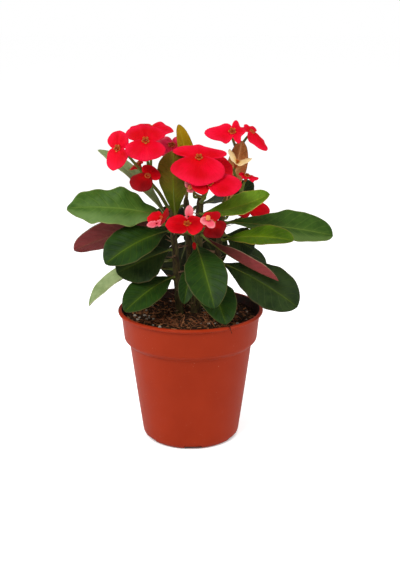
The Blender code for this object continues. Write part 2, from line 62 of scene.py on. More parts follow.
# %% One wrapped socket
class Wire:
    """An output socket of a finish, on which +, - and * add Math nodes."""

    def __init__(self, finish, socket):
        self.finish, self.socket = finish, socket

    def __add__(self, other):
        return self.finish.maths("ADD", self, other)

    def __sub__(self, other):
        return self.finish.maths("SUBTRACT", self, other)

    def __rsub__(self, other):
        return self.finish.maths("SUBTRACT", other, self)

    def __mul__(self, other):
        return self.finish.maths("MULTIPLY", self, other)

    __radd__, __rmul__ = __add__, __mul__

    def size(self):
        return self.finish.maths("ABSOLUTE", self)

    def saw(self):
        """The part after the decimal point, for anything that repeats."""
        return self.finish.maths("FRACT", self)

    def above(self, low, high):
        """0 up to `low`, 1 from `high` on, with a soft step between."""
        return self.finish.node("MapRange", {"interpolation_type": "SMOOTHSTEP"},
                                {"Value": self, "From Min": low, "From Max": high})


# %% [markdown]
# ## A finish and its nodes
# Every node comes from one method: the type, then the settings, then the sockets. Lengths are in
# millimetres, because a bark fissure or a leaf vein is thought of in millimetres: object
# coordinates times 1000 give them.

# %% The finish class
def tint(red, green, blue):
    """A colour picked on a 0 to 255 swatch, as the light values that shaders use."""
    return tuple((c / 255 / 12.92) if c <= 10 else ((c / 255 + 0.055) / 1.055) ** 2.4
                 for c in (red, green, blue))


class Finish:
    """A material being made: its nodes, and the Principled shader they feed."""

    def __init__(self, name, roughness=0.5, shine=0.2):
        self.material = bpy.data.materials.new(name)
        self.material.use_nodes = True
        self.tree = self.material.node_tree
        self.shader = self.tree.nodes["Principled BSDF"]
        self.shader.inputs["Roughness"].default_value = roughness
        self.shader.inputs["Specular IOR Level"].default_value = shine
        self.here = self.node("VectorMath", {"operation": "SCALE"},
                              {0: self.node("TexCoord", {}, {}, "Object"), "Scale": 1 / MM})

    def node(self, kind, settings, sockets, output=0):
        node = self.tree.nodes.new("ShaderNode" + kind)
        for key, value in settings.items():
            if key == "stops":
                self.set_ramp(node.color_ramp, value)
            else:
                setattr(node, key, value)
        for key, value in sockets.items():
            self.plug(node.inputs[key], value)
        return Wire(self, node.outputs[output])

    def set_ramp(self, ramp, stops):
        while len(ramp.elements) < len(stops):
            ramp.elements.new(1.0)
        for element, (place, colour) in zip(ramp.elements, stops):
            element.position = place
            element.color = (*colour, 1)

    def plug(self, socket, value):
        if isinstance(value, Wire):
            self.tree.links.new(value.socket, socket)
        elif socket.type == "RGBA":
            socket.default_value = (*value, 1)
        else:
            socket.default_value = value

    def maths(self, operation, *values):
        return self.node("Math", {"operation": operation}, dict(enumerate(values)))

    def mix(self, share, first, second):
        """Colours: `first` where share is 0 and `second` where it is 1."""
        return self.node("Mix", {"data_type": "RGBA"}, {0: share, 6: first, 7: second}, 2)

    def noise(self, size, detail=3, rough=0.5, stretch=(1, 1, 1), seed=0):
        """Soft noise whose blotches are about `size` millimetres."""
        scaled = self.node("VectorMath", {"operation": "MULTIPLY_ADD"},
                           {0: self.here, 1: stretch, 2: (seed,) * 3})
        return self.node("TexNoise", {},
                         {"Vector": scaled, "Scale": 1 / size, "Detail": detail, "Roughness": rough})

    def stored(self, name):
        """A number kept on the mesh's points, such as how far along a leaf each one is."""
        return self.node("Attribute", {"attribute_name": name}, {}, "Fac")

    def grain(self):
        """A different number from 0 to 1 on each loose bit of one mesh."""
        return self.node("NewGeometry", {}, {}, "Random Per Island")

    def colour(self, value):
        self.plug(self.shader.inputs["Base Color"], value)

    def rough(self, value):
        self.plug(self.shader.inputs["Roughness"], value)

    def bump(self, height, depth, strength=1.0):
        """Relief `depth` millimetres deep where height goes from 0 to 1."""
        relief = self.node("Bump", {}, {"Height": height, "Distance": depth * MM, "Strength": strength})
        self.plug(self.shader.inputs["Normal"], relief)


def two_tone(name, roughness, blotches, first, second, pits, depth, shine=0.2):
    """A plain finish of two colours in soft blotches, with pits `depth` millimetres deep."""
    finish = Finish(name, roughness, shine)
    finish.colour(finish.mix(finish.noise(*blotches), tint(*first), tint(*second)))
    finish.bump(finish.noise(*pits), depth)
    return finish


print("a leaf green:", [round(c, 3) for c in tint(51, 86, 25)])

# %% [markdown]
# ## Adding a piece
# Each piece is one mesh that rides on the only body there is, takes its finishes as materials and,
# where a node is given, stands in for that solid of the frame. Turned shapes, tubes and blobs are
# what a plant and a pot are made of, so these three have a helper each.

# %% Helpers for meshes
def link(obj):
    bpy.context.scene.collection.objects.link(obj)
    return obj


def add_piece(name, bm, finishes, node=None, smooth=True):
    """Turns a bmesh in millimetres into a piece."""
    bmesh.ops.scale(bm, vec=(MM, MM, MM), verts=bm.verts)
    mesh = bpy.data.meshes.new(name)
    bm.to_mesh(mesh)
    bm.free()
    for finish in finishes:
        mesh.materials.append(finish.material)
    if smooth:
        mesh.shade_smooth()
    piece = link(bpy.data.objects.new(name, mesh))
    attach(piece, "root")
    if node:
        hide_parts(node)
    return piece


def marks(bm):
    """The two numbers stored on the points of leaves and bracts."""
    layers = bm.verts.layers.float
    return (layers.get("across") or layers.new("across")), (layers.get("along") or layers.new("along"))


def lathe(bm, profile, steps, place=Matrix(), material=0):
    """A closed body turned from a profile of (radius, height), from axis to axis."""
    rings = []
    for radius, height in profile:
        count = 1 if radius == 0 else steps
        rings.append([bm.verts.new(place @ Vector((radius * math.cos(math.tau * i / count),
                                                   radius * math.sin(math.tau * i / count), height)))
                      for i in range(count)])
    for low, high in zip(rings, rings[1:]):
        for i in range(steps):
            corners = [low[i % len(low)], low[(i + 1) % len(low)], high[(i + 1) % len(high)], high[i % len(high)]]
            bm.faces.new(list(dict.fromkeys(corners))).material_index = material
    return rings


def tube(bm, path, radii, sides=10, material=0):
    """A closed tube along a path, with a radius for each of its points."""
    side = (path[1] - path[0]).orthogonal().normalized()
    rings = []
    for i, (point, radius) in enumerate(zip(path, radii)):
        along = (path[min(i + 1, len(path) - 1)] - path[max(i - 1, 0)]).normalized()
        side = (side - side.project(along)).normalized()
        other = along.cross(side)
        rings.append([bm.verts.new(point + radius * (math.cos(math.tau * k / sides) * side
                                                     + math.sin(math.tau * k / sides) * other))
                      for k in range(sides)])
    for low, high in zip(rings, rings[1:]):
        for k in range(sides):
            face = bm.faces.new([low[k], low[(k + 1) % sides], high[(k + 1) % sides], high[k]])
            face.material_index = material
    bm.faces.new(rings[0][::-1]).material_index = material
    bm.faces.new(rings[-1]).material_index = material


def blob(bm, centre, size, turn=Matrix.Identity(3), detail=2, lumps=0.0, material=0):
    """A ball stretched to `size`, turned, and made uneven by `lumps`."""
    made = bmesh.ops.create_icosphere(bm, subdivisions=detail, radius=1.0)["verts"]
    for vertex in made:
        uneven = 1 + lumps * noise.noise(vertex.co * 1.7 + Vector(centre))
        vertex.co = turn @ (Vector([a * b for a, b in zip(vertex.co, size)]) * uneven) + Vector(centre)
    for face in {f for v in made for f in v.link_faces}:
        face.material_index = material


def smooth_path(points, steps):
    """Points on the Catmull-Rom curve through the given ones, `steps` to each stretch."""
    knots = [Vector(p) for p in points]
    knots = [2 * knots[0] - knots[1], *knots, 2 * knots[-1] - knots[-2]]
    path = []
    for a, b, c, d in zip(knots, knots[1:], knots[2:], knots[3:]):
        for i in range(steps):
            t = i / steps
            path.append(0.5 * (2 * b + (c - a) * t + (2 * a - 5 * b + 4 * c - d) * t**2
                               + (3 * b - a - 3 * c + d) * t**3))
    return [*path, knots[-2]]


def toward(direction):
    """A rotation that takes +Z to the direction."""
    return direction.to_track_quat("Z", "Y").to_matrix()


print("helpers ready")

# %% [markdown]
# ## The pot
# A nursery pot is drawn from one thin sheet of coloured polypropylene: a turned-out lip, a collar
# that lets pots stack, a crease below it, and a foot with notches that let the water out. The
# profile is turned about the axis, with every edge rounded as the hot sheet leaves it, and the
# notches are cut away. Its size comes from the frame's own pot.

# %% The pot's plastic
plastic = Finish("terracotta_plastic", shine=0.11)
cloud = plastic.noise(26, 4)
speck = plastic.noise(1.1, 2, seed=7).above(0.70, 0.76) * plastic.noise(19, 2, seed=3).above(0.5, 0.62)
body = plastic.mix(cloud, tint(148, 40, 8), tint(166, 50, 17))
plastic.colour(plastic.mix(speck * 0.45, body, tint(214, 150, 128)))
scuff = plastic.noise(9, 5, 0.65, stretch=(1, 1, 0.25), seed=11)
plastic.rough(0.34 + scuff * 0.16)
plastic.bump(plastic.noise(0.8, 2) * 0.4 + plastic.noise(12, 2, stretch=(1, 1, 0.15), seed=5) * 0.6, 0.22)

# Inside finish: soil stains in dark blotches, on an overall darker tone that is painted shade on the inner wall and
# in the hollow under the foot
dirt_and_shade = Finish("stained_plastic", 0.7)
dark_blotches = dirt_and_shade.noise(5, 5, 0.65)
dirt_and_shade.colour(dirt_and_shade.mix(dark_blotches.above(0.2, 0.55), tint(92, 34, 20), tint(40, 22, 14)))
dirt_and_shade.bump(dark_blotches, 0.3)

# %% The pot itself
POT_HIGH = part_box("pot")[1] / MM
LIP, TOP = POT_HIGH.x - 0.02, POT_HIGH.z - 0.02
NOTCHES, NOTCH_START = 6, 273  # the first one's direction, in degrees from +X
HOLLOW = (37.5, 3.1)  # radius and height of the hollow behind the notches

outside = [(LIP - 1.2, TOP), (LIP - 0.5, TOP - 0.15), (LIP - 0.1, TOP - 0.6), (LIP, TOP - 1.2),
           (LIP - 0.2, TOP - 1.9), (LIP - 0.9, TOP - 2.3), (LIP - 2.1, TOP - 2.5), (57.5, TOP - 2.9),
           (57.35, TOP - 3.8), (56.4, 98.5),
           (55.35, 87.6), (55.15, 86.2), (54.8, 85.3), (54.2, 84.5), (53.2, 83.4), (52.2, 82.5), (51.3, 81.9),
           (50.85, 81.2), (50.7, 80.2), (50.3, 77), (47.6, 56), (44.4, 31.5), (41.15, 8), (40.9, 5.6), (40.5, 3.8),
           (39.8, 2.2), (38.9, 1.1), (37.7, 0.35), (36.4, 0.0), (35.0, 0.0), (34.3, 0.3), (33.8, 1.2),
           (33.4, 2.8), (0, 3.0)]
inside = [(0, 4.2), (35.4, 4.2), (38.0, 5.4), (39.6, 9.0), (49.3, 81.2), (53.4, 86.0), (55.9, TOP - 3),
          (56.5, TOP - 0.7), (57.2, TOP)]

bm = bmesh.new()
lathe(bm, inside + outside, 160)
bmesh.ops.recalc_face_normals(bm, faces=bm.faces)
for face in bm.faces:
    middle = face.calc_center_median()
    # faces that look towards the axis, the inside wall, take the inside finish: soil stains and painted shade
    face.material_index = int(middle.z > 4 and middle.xy.dot(face.normal.xy) < -0.5)
pot = add_piece("nursery_pot", bm, [plastic, dirt_and_shade], "pot")
cutters = bmesh.new()
for i in range(NOTCHES):
    turn = Matrix.Rotation(math.radians(NOTCH_START + 360 / NOTCHES * i), 4, "Z")
    bmesh.ops.create_cube(cutters, size=MM, matrix=turn @ Matrix.Translation((0.040, 0, 0))
                          @ Matrix.Diagonal((12, 14, 6, 1)))
knife_mesh = bpy.data.meshes.new("notches")
cutters.to_mesh(knife_mesh)
cutters.free()
knife = link(bpy.data.objects.new("notches", knife_mesh))
cut = pot.modifiers.new("notches", "BOOLEAN")
cut.object, cut.operation, cut.solver = knife, "DIFFERENCE", "EXACT"
whole = bpy.data.meshes.new_from_object(pot.evaluated_get(bpy.context.evaluated_depsgraph_get()))
pot.modifiers.clear()
pot.data = whole
bpy.data.objects.remove(knife)
for polygon in whole.polygons:  # the hollow takes the dark inside finish too: painted shade
    if polygon.center.z < HOLLOW[1] * MM and polygon.center.xy.length < HOLLOW[0] * MM:
        polygon.material_index = 1
whole.set_sharp_from_angle(angle=math.radians(40))
print("pot:", len(whole.polygons), "faces,", round(2 * LIP, 1), "mm across the lip")

# %% [markdown]
# ## The soil
# Potting soil is peat crumbs, fibres of coir and root, chips of bark and white grains of perlite. A
# displaced disc alone looks like a blanket, so it only closes the gaps: what is seen is many loose
# crumbs on top of it, each a blob of its own that is pressed into the bed.

# %% Soil finishes
peat = Finish("peat", 0.95)
crumb = peat.noise(1.3, 4, 0.65)
browns = [(0.25, tint(22, 12, 5)), (0.5, tint(52, 31, 15)), (0.8, tint(98, 65, 36))]
peat.colour(peat.node("ValToRGB", {"stops": browns}, {"Fac": crumb * 0.7 + peat.grain() * 0.3}))
peat.bump(peat.noise(0.5, 4, 0.7), 0.5)

chip = Finish("bark_chip", 0.85)
chip.colour(chip.mix(chip.noise(1.5, 3, stretch=(1, 3, 1)),
                     chip.mix(chip.grain(), tint(66, 34, 16), tint(138, 84, 48)), tint(166, 112, 70)))
chip.bump(chip.noise(0.6, 3, stretch=(1, 4, 1)), 0.3)

perlite = two_tone("perlite", 0.9, (0.8, 3), (126, 114, 98), (204, 194, 180), (0.4, 3), 0.3)

coir = Finish("coir", 0.8)
coir.colour(coir.mix(coir.noise(4, 2),
                     coir.mix(coir.grain(), tint(150, 78, 40), tint(206, 144, 96)), tint(104, 52, 28)))
coir.bump(coir.noise(0.3, 2), 0.1)

# %% The bed and its crumbs
SOIL_EDGE, SOIL_CROWN, SOIL_RIM = 103.0, 104.4, 55.0
SOIL_RINGS = 60
CRUMBS, CHIPS, GRAINS = 2600, 230, 46
rng = random.Random(11)


def soil_height(x, y):
    share = math.hypot(x, y) / SOIL_RIM
    place = Vector((x, y, 0))
    rough = 1.1 * noise.noise(place * 0.12) + 0.8 * noise.noise(place * 0.35) + 0.4 * noise.noise(place * 0.9)
    return SOIL_CROWN - (SOIL_CROWN - SOIL_EDGE) * share**2 + rough * (1 - share**8)


def on_soil(reach=0.97):
    """A random place on the soil, and its height."""
    r, a = SOIL_RIM * reach * math.sqrt(rng.random()), rng.uniform(0, math.tau)
    x, y = r * math.cos(a), r * math.sin(a)
    return Vector((x, y, soil_height(x, y)))


bm = bmesh.new()
bed_profile = [(SOIL_RIM * k / SOIL_RINGS, 0) for k in range(SOIL_RINGS + 1)] + [(51, 84), (0, 84)]
rings = lathe(bm, bed_profile, 150)
for ring in rings[:SOIL_RINGS + 1]:
    for vertex in ring:
        vertex.co.z = soil_height(vertex.co.x, vertex.co.y)
bmesh.ops.recalc_face_normals(bm, faces=bm.faces)
for _ in range(CRUMBS):
    size = rng.uniform(0.35, 1.3)
    turn = Matrix.Rotation(rng.uniform(0, math.tau), 3, Vector((rng.random(), rng.random(), 0.3)))
    blob(bm, on_soil(), (size, size * rng.uniform(0.6, 1), size * rng.uniform(0.5, 0.9)), turn, 1, 0.4)
add_piece("soil_bed", bm, [peat], "soil")

bm = bmesh.new()
for _ in range(CHIPS):
    place = on_soil() + Vector((0, 0, rng.uniform(0.2, 0.9)))
    turn = Matrix.Rotation(rng.uniform(0, math.tau), 4, "Z") @ Matrix.Rotation(rng.uniform(-0.6, 0.6), 4, "X")
    shape = Matrix.Diagonal((rng.uniform(1.2, 4.5), rng.uniform(0.8, 1.8), rng.uniform(0.4, 0.9), 1))
    for vertex in bmesh.ops.create_cube(bm, size=1, matrix=Matrix.Translation(place) @ turn @ shape)["verts"]:
        vertex.co += Vector([rng.uniform(-0.35, 0.35) for _ in range(3)])
add_piece("bark_chips", bm, [chip], smooth=False)

PERLITE_PATCH = [(-46, -3), (-42, -8), (-38, -5), (-34, -11), (-30, -15), (-36, -14), (-43, -13),
                 (-24, -34), (8, -44), (38, -26)]
bm = bmesh.new()
for i in range(GRAINS):
    place = on_soil(0.93)
    if i < len(PERLITE_PATCH):
        place = Vector((*PERLITE_PATCH[i], soil_height(*PERLITE_PATCH[i])))
    size = rng.uniform(0.9, 1.6) if i < len(PERLITE_PATCH) else rng.uniform(0.5, 1.1)
    blob(bm, place + Vector((0, 0, size * 0.7)), (size, size * 0.8, size * 0.75), Matrix.Identity(3), 2, 0.7)
add_piece("perlite_grains", bm, [perlite])
print("soil:", CRUMBS, "crumbs")

# %% Fibres and roots
bm = bmesh.new()
TUFTS = [(-22, -22, 26), (-12, -27, 12), (-2, -30, 12), (8, -26, 16), (24, -30, 8), (37, -20, 8)]
starts = [Vector((x + rng.gauss(0, 4), y + rng.gauss(0, 2.5), 0)) for x, y, count in TUFTS for _ in range(count)]
LOOSE = 150
starts += [on_soil(0.9) for _ in range(LOOSE)]
for i, start in enumerate(starts):
    upright = i < len(starts) - LOOSE
    if start.xy.length > 0.93 * SOIL_RIM:
        continue
    start.z = soil_height(start.x, start.y) - 0.6
    heading, rise = rng.uniform(0, math.tau), rng.uniform(0.7, 1.4) if upright else rng.uniform(0.05, 1.1)
    length, bend = rng.uniform(7, 15) if upright else rng.uniform(5, 13), rng.uniform(-1.2, 1.2)
    path, point = [start], start.copy()
    for k in range(5):
        heading += bend * 0.3
        rise -= 0.22
        point = point + Vector((math.cos(heading) * math.cos(rise), math.sin(heading) * math.cos(rise),
                                math.sin(rise))) * length / 5
        point.z = max(point.z, soil_height(point.x, point.y) + 0.1)
        if point.xy.length > 0.96 * SOIL_RIM:
            break
        path.append(point)
    if len(path) > 2:
        thick = rng.uniform(0.16, 0.32)
        path = smooth_path(path, 3)
        tube(bm, path, [thick * (1 - 0.6 * k / (len(path) - 1)) for k in range(len(path))], 5)
add_piece("root_fibres", bm, [coir])

bm = bmesh.new()
hang = smooth_path([(27, -45, 104), (30.5, -50.5, TOP + 0.4), (31.5, -52.1, TOP - 1.5), (32.6, -51.6, TOP - 5)], 5)
tube(bm, hang, [0.42 - 0.012 * k for k in range(len(hang))], 6)
add_piece("fibre_over_lip", bm, [peat])
print("fibres:", len(starts))

# %% [markdown]
# ## The stems
# The stems are the woody, grey-brown core of the plant: each narrows upwards, is knobbly where old
# leaves dropped off, and carries slender thorns in pairs. A tube along the stem's own path gives
# the taper, noise pushes its points in and out for the knobs, and every thorn is a thin cone with
# a slight upward bend.

# %% Bark and thorns
bark = Finish("stem_bark", 0.8)
crack = bark.noise(2.2, 5, 0.7, stretch=(1, 1, 0.3))
age = bark.noise(16, 3, seed=4)
bark.colour(bark.mix(crack.above(0.35, 0.62), tint(44, 30, 20), bark.mix(age, tint(76, 60, 34), tint(84, 82, 40))))
bark.rough(0.7 + crack * 0.25)
bark.bump(crack, 0.5)

thorn = two_tone("thorn_wood", 0.55, (3, 2), (92, 66, 48), (150, 118, 88), (0.5, 2), 0.08)

# %% Where the stems run
STEM_FOOT = 62
GAP = 0.4
Stem = namedtuple("Stem", "name path foot_radius tip_radius")
STEMS = [
    Stem("stem_left", [(-9, 2, STEM_FOOT), (-9, 2, 104), (-12, 0, 150), (-15, -2, 195)], 4.2, 2.7),
    Stem("stem_main", [(4, 4, STEM_FOOT), (4, 4, 104), (6, 3, 150), (8, 0, 204)], 5.2, 3.2),
    Stem("stem_right", [(17, 7, STEM_FOOT), (17, 7, 104), (22, 7, 150), (27, 6, 198)], 4.2, 2.7),
    Stem("stem_back", [(0, 21, STEM_FOOT), (0, 21, 104), (-1, 25, 150), (-4, 30, 198)], 4.2, 2.8),
]


def stem_at(stem, height):
    """Centre and radius of a stem at a height."""
    path = smooth_path(stem.path, 8)
    for i, (low, high) in enumerate(zip(path, path[1:])):
        if low.z <= height <= high.z or i == len(path) - 2:
            share = (height - low.z) / (high.z - low.z)
            along = (i + share) / (len(path) - 1)
            return low.lerp(high, share), stem.foot_radius + (stem.tip_radius - stem.foot_radius) * along


def add_thorn(bm, stem, height, side, length):
    centre, radius = stem_at(stem, height)
    out = Vector((math.cos(side), math.sin(side), rng.uniform(0.1, 0.4))).normalized()
    path = [centre + out * (radius * 0.7 + length * t) + Vector((0, 0, 0.08 * length * t * t))
            for t in (0, 0.12, 0.3, 0.6, 1)]
    tube(bm, path, [1.25, 0.72, 0.46, 0.3, 0.08], 7, 1)


GOLDEN_ANGLE = 137.5
rng = random.Random(5)
for stem in STEMS:
    bm = bmesh.new()
    path = smooth_path(stem.path, 26)
    count = len(path) - 1
    radii = [stem.foot_radius * 0.94 + (stem.tip_radius - stem.foot_radius) * i / count for i in range(count + 1)]
    for k, share in enumerate((0.25, 0.62, 0.84, 0.95)):  # a rounded growing tip
        radii[-1 - k] *= share
    tube(bm, path, radii, 24)
    for vertex in bm.verts:
        centre, _ = stem_at(stem, vertex.co.z)
        out = Vector((vertex.co.x - centre.x, vertex.co.y - centre.y, 0))
        knob = 0.35 * noise.noise(vertex.co * 0.16) + 0.22 * noise.noise(vertex.co * 0.5)
        vertex.co += out.normalized() * min(knob, 0.25) if vertex.co.z > 100 else Vector()
    height, side = 107.0, rng.uniform(0, math.tau)
    while height < stem.path[-1][2] - 12:
        for swing in (-0.32, 0.32):
            add_thorn(bm, stem, height + rng.uniform(-1, 1), side + swing, rng.uniform(4.5, 8.5))
        height += rng.uniform(4.5, 7.5)
        side += math.radians(GOLDEN_ANGLE)
    add_piece(stem.name + "_bark", bm, [bark, thorn], stem.name)
    print(stem.name, "thorns up to", round(height), "mm")

# %% [markdown]
# ## Leaf finishes
# A leaf of this plant has a pale midrib, faint side veins that slant to the tip, a thin margin, and
# an underside that is often reddish. The mesh keeps two numbers on each point: across, from -1 to 1
# between the margins, and along, from 0 at the stem to 1 at the tip. Veins are drawn from those
# two, so they follow every fold of the leaf.

# %% Upper and under sides
VEINS = 11  # side veins along one half of a leaf
VEIN_SLANT = 2.1  # how far a vein climbs towards the tip on its way to the margin, in veins
OFFSET = 0.45  # of the veins on one half against the other


def leaf_finish(name, dark, light, rib, margin, tipped=None, gloss=0.42, raised=False, veins=0.16, painted_sheen=None):
    """One side of a leaf: `tipped` is its colour near the tip, and the last argument a side of it and the colour of
    a highlight painted there.
    """
    dark, light, rib, margin = (tint(*swatch) for swatch in (dark, light, rib, margin))
    leaf = Finish(name, gloss, 0.12)
    across, along = leaf.stored("across"), leaf.stored("along")
    near_rib = across.size() * (0.35 + along)
    midrib = 1 - near_rib.above(0.012, 0.06)
    glow = 1 - near_rib.above(0.03, 0.30)
    wander = leaf.noise(11, 2, seed=9) * 0.5
    slant = along * VEINS - across.size() * VEIN_SLANT + across.above(-0.01, 0.01) * OFFSET + wander
    ridge = ((slant.saw() - 0.5).size() * 2).above(0.80, 1.0)
    vein = ridge * (1 - across.size().above(0.75, 1.0)) * veins
    edge = across.size().above(0.94, 0.995) * 0.8
    patch = leaf.noise(13, 4, 0.6, seed=2)
    mottle = leaf.noise(2.2, 3, 0.6)
    colour = leaf.mix(patch.above(0.3, 0.7), dark, light)
    if tipped:
        colour = leaf.mix((along + patch * 0.5 - 0.25).above(0.25, 0.85), colour, tint(*tipped))
    colour = leaf.mix(mottle.above(0.35, 0.75) * 0.22, colour, light)
    # a lighter colour over one half of the blade: a painted highlight
    if painted_sheen:
        colour = leaf.mix((across * painted_sheen[0] + patch * 0.4 - 0.2).above(0.1, 0.75) * 0.7, colour, tint(*painted_sheen[1]))
    colour = leaf.mix(vein, colour, rib)
    colour = leaf.mix(glow * 0.2, colour, rib)
    colour = leaf.mix(midrib * 0.7, colour, rib)
    leaf.colour(leaf.mix(edge, colour, margin))
    leaf.rough(gloss + mottle * 0.14 - midrib * 0.05)
    relief = ridge * 0.35 + midrib * 0.6
    pores = leaf.noise(0.9, 3) * 0.25
    leaf.bump(relief + pores if raised else 1 - relief + pores, 0.35)
    return leaf


UPPER = {
    "fresh": leaf_finish("leaf_fresh", (22, 46, 8), (36, 64, 12), (84, 108, 22), (84, 82, 40)),
    # lit and open are lighter copies of the green for the two long leaves in the fullest light: painted light
    "lit": leaf_finish("leaf_lit", (46, 80, 18), (76, 108, 36), (104, 134, 52), (134, 144, 76),
                       veins=0.3, painted_sheen=(-1, (108, 136, 74))),
    "open": leaf_finish("leaf_open", (36, 62, 12), (56, 86, 22), (96, 120, 44), (120, 126, 62),
                        veins=0.25, painted_sheen=(1, (90, 114, 52))),
    "deep": leaf_finish("leaf_deep", (24, 40, 14), (42, 60, 22), (70, 88, 24), (78, 68, 38)),
    "bright": leaf_finish("leaf_bright", (72, 104, 10), (108, 144, 30), (144, 168, 46), (188, 172, 84)),
    "lime": leaf_finish("leaf_lime", (48, 76, 2), (76, 106, 6), (118, 136, 16), (140, 120, 44)),
    # pale: a grey-green copy of the upper side for leaves that catch a broad sheen, a painted highlight
    "pale": leaf_finish("leaf_pale", (110, 130, 76), (152, 168, 116), (164, 174, 122), (186, 186, 144)),
}
UNDER = {
    "shade": leaf_finish("under_shade", (26, 36, 14), (44, 52, 24), (70, 76, 34), (80, 66, 40),
                         gloss=0.6, raised=True),
    "russet": leaf_finish("under_russet", (78, 54, 22), (98, 64, 34), (140, 112, 56), (136, 90, 60),
                          gloss=0.55, raised=True),
    "maroon": leaf_finish("under_maroon", (74, 36, 24), (92, 38, 34), (130, 72, 56), (172, 146, 116),
                          (134, 56, 56), 0.5, True),
    "olive": leaf_finish("under_olive", (58, 70, 2), (80, 92, 6), (104, 112, 12), (120, 98, 20),
                         (104, 78, 10), 0.5, True),
    "amber": leaf_finish("under_amber", (126, 116, 2), (156, 140, 4), (182, 160, 24), (150, 112, 20),
                         (168, 130, 6), 0.5, True),
    "tan": leaf_finish("under_tan", (218, 140, 78), (240, 170, 108), (240, 186, 130), (116, 64, 34),
                       (164, 98, 50), 0.5, True),
    # pale: the same painted highlight on the underside
    "pale": leaf_finish("under_pale", (108, 120, 78), (142, 150, 110), (172, 176, 134), (184, 174, 142),
                        gloss=0.55, raised=True),
}
petiole = Finish("leaf_stalk", 0.5)
greens = petiole.mix(petiole.noise(2, 3), tint(78, 92, 30), tint(112, 122, 48))
petiole.colour(petiole.mix(petiole.noise(9, 3, seed=6).above(0.5, 0.8), greens, tint(122, 78, 44)))
petiole.bump(petiole.noise(0.8, 3, stretch=(1, 1, 0.3)), 0.12)
print("leaf finishes:", len(UPPER) + len(UNDER) + 1)

# %% [markdown]
# ## The leaves
# A blade is a fine grid laid along a bent midrib: wedge-shaped at the foot, broadest beyond the
# middle, and drawn to a small point. Its halves lift into a shallow V, its margins ripple, and the
# tissue puffs up a little between the side veins. Solidify makes it a real, thin solid and gives
# the underside its own finish.

# %% Where the leaves are
LEAF_THICKNESS = 0.9
LEAF_FOOT = 1.2
Leaf = namedtuple("Leaf", "name stem height tip face width arch fold wave side broadest", defaults=[None, 0.6])
LEAVES = [
    Leaf("leaf_left_long", "stem_left", 187, (-98, -10, 196), (0.1, -0.75, 0.6), 35, 0.1, 10, 2.8, 195, 0.5),
    Leaf("leaf_left_purple", "stem_left", 181, (-97, 16, 155), (-0.5, 0.8, 0.35), 32, 0.06, 8, 0.8),
    Leaf("leaf_left_front", "stem_left", 176, (-66, -36, 157), (-0.15, -0.7, 0.7), 36, 0.1, 12, 0.8),
    Leaf("leaf_left_dark", "stem_left", 160, (-58, -24, 146), (-0.1, -0.85, 0.5), 38, 0.06, 8, 0.6, 205),
    Leaf("leaf_left_low", "stem_left", 143, (-62, 22, 126), (0.1, 0.1, 1.0), 26, 0.08, 10, 0.5),
    Leaf("leaf_left_drooping", "stem_left", 151, (-84, -2, 112), (-0.6, -0.3, 0.7), 26, 0.1, 24, 0.5),
    Leaf("leaf_left_soil", "stem_left", 137, (-51, -45, 121), (0.1, -0.6, 0.8), 28, 0.1, 12, 0.5),
    Leaf("leaf_left_upper", "stem_left", 185, (-76, 28, 237), (0.4, -0.4, 0.8), 18, 0.08, 12, 0.5, 150),
    Leaf("leaf_upright", "stem_left", 187, (-12.5, -14, 242), (0.15, 0.95, 0.2), 27, -0.1, 10, 0.4, 315, 0.74),
    Leaf("leaf_crown", "stem_main", 203, (-9, -1, 261), (0.3, 0.9, 0.3), 14, 0.05, 16, 0.2, 175),
    Leaf("leaf_right_upper", "stem_main", 190, (62, -20, 209), (-0.1, -0.65, 0.75), 22, -0.06, 12, 0.6, 285),
    Leaf("leaf_right_long", "stem_right", 181, (116, 2, 171), (0.1, -0.55, 0.83), 35, 0.03, 14, 1.0, 0, 0.7),
    Leaf("leaf_right_small", "stem_right", 167, (79, -46, 178), (0.0, -0.55, 0.83), 25, 0.05, 10, 0.4, 320),
    Leaf("leaf_right_purple", "stem_main", 172, (69, -41, 145), (0.3, 0.3, 0.9), 20, -0.04, 60, 0.3, 310),
    Leaf("leaf_right_broad", "stem_right", 147, (85, -33, 121), (-0.1, -0.75, 0.7), 38, 0.09, 8, 0.8, 330, 0.68),
    Leaf("leaf_right_behind", "stem_right", 160, (64, 30, 142), (0.0, -0.5, 0.85), 22, 0.04, 10, 0.4, 40),
    Leaf("leaf_right_dark", "stem_right", 170, (52, 12, 156), (0.0, -0.8, 0.6), 26, 0.1, 10, 0.4, 10, 0.5),
    Leaf("leaf_front", "stem_main", 164, (19, -59, 128), (-0.1, -0.6, 0.8), 34, 0.12, 12, 0.5, 250),
    Leaf("leaf_front_soil", "stem_main", 137, (28, -53, 113), (0.1, -0.5, 0.85), 31, 0.12, 10, 0.4, 305),
    Leaf("leaf_front_low", "stem_main", 150, (-5, -35, 124), (0.0, -0.7, 0.7), 15, 0.12, 10, 0.4, 235),
    Leaf("leaf_brown", "stem_right", 194, (41, 0, 248), (0.3, 0.9, 0.3), 17, 0.05, 16, 0.2, 40),
    Leaf("leaf_right_top", "stem_right", 184, (50, 24, 212), (0.0, -0.5, 0.85), 20, 0.06, 10, 0.4, 30),
    Leaf("leaf_back_left", "stem_back", 190, (-34, 62, 138), (-0.15, 0.95, 0.35), 38, 0.15, 8, 1.0, 150, 0.5),
    Leaf("leaf_back_right", "stem_back", 178, (24, 60, 130), (0.15, 0.95, 0.35), 38, 0.08, 8, 0.8, 50, 0.45),
    Leaf("leaf_back_side", "stem_back", 186, (42, 86, 184), (0.1, 0.75, 0.65), 33, 0.06, 10, 0.6, 30),
    Leaf("leaf_back_low", "stem_back", 160, (-14, 66, 114), (0.0, 0.93, 0.36), 40, 0.06, 10, 0.6, 110),
    Leaf("leaf_back_far_left", "stem_back", 166, (-74, 42, 150), (-0.2, 0.2, 0.95), 30, 0.12, 10, 0.6),
]
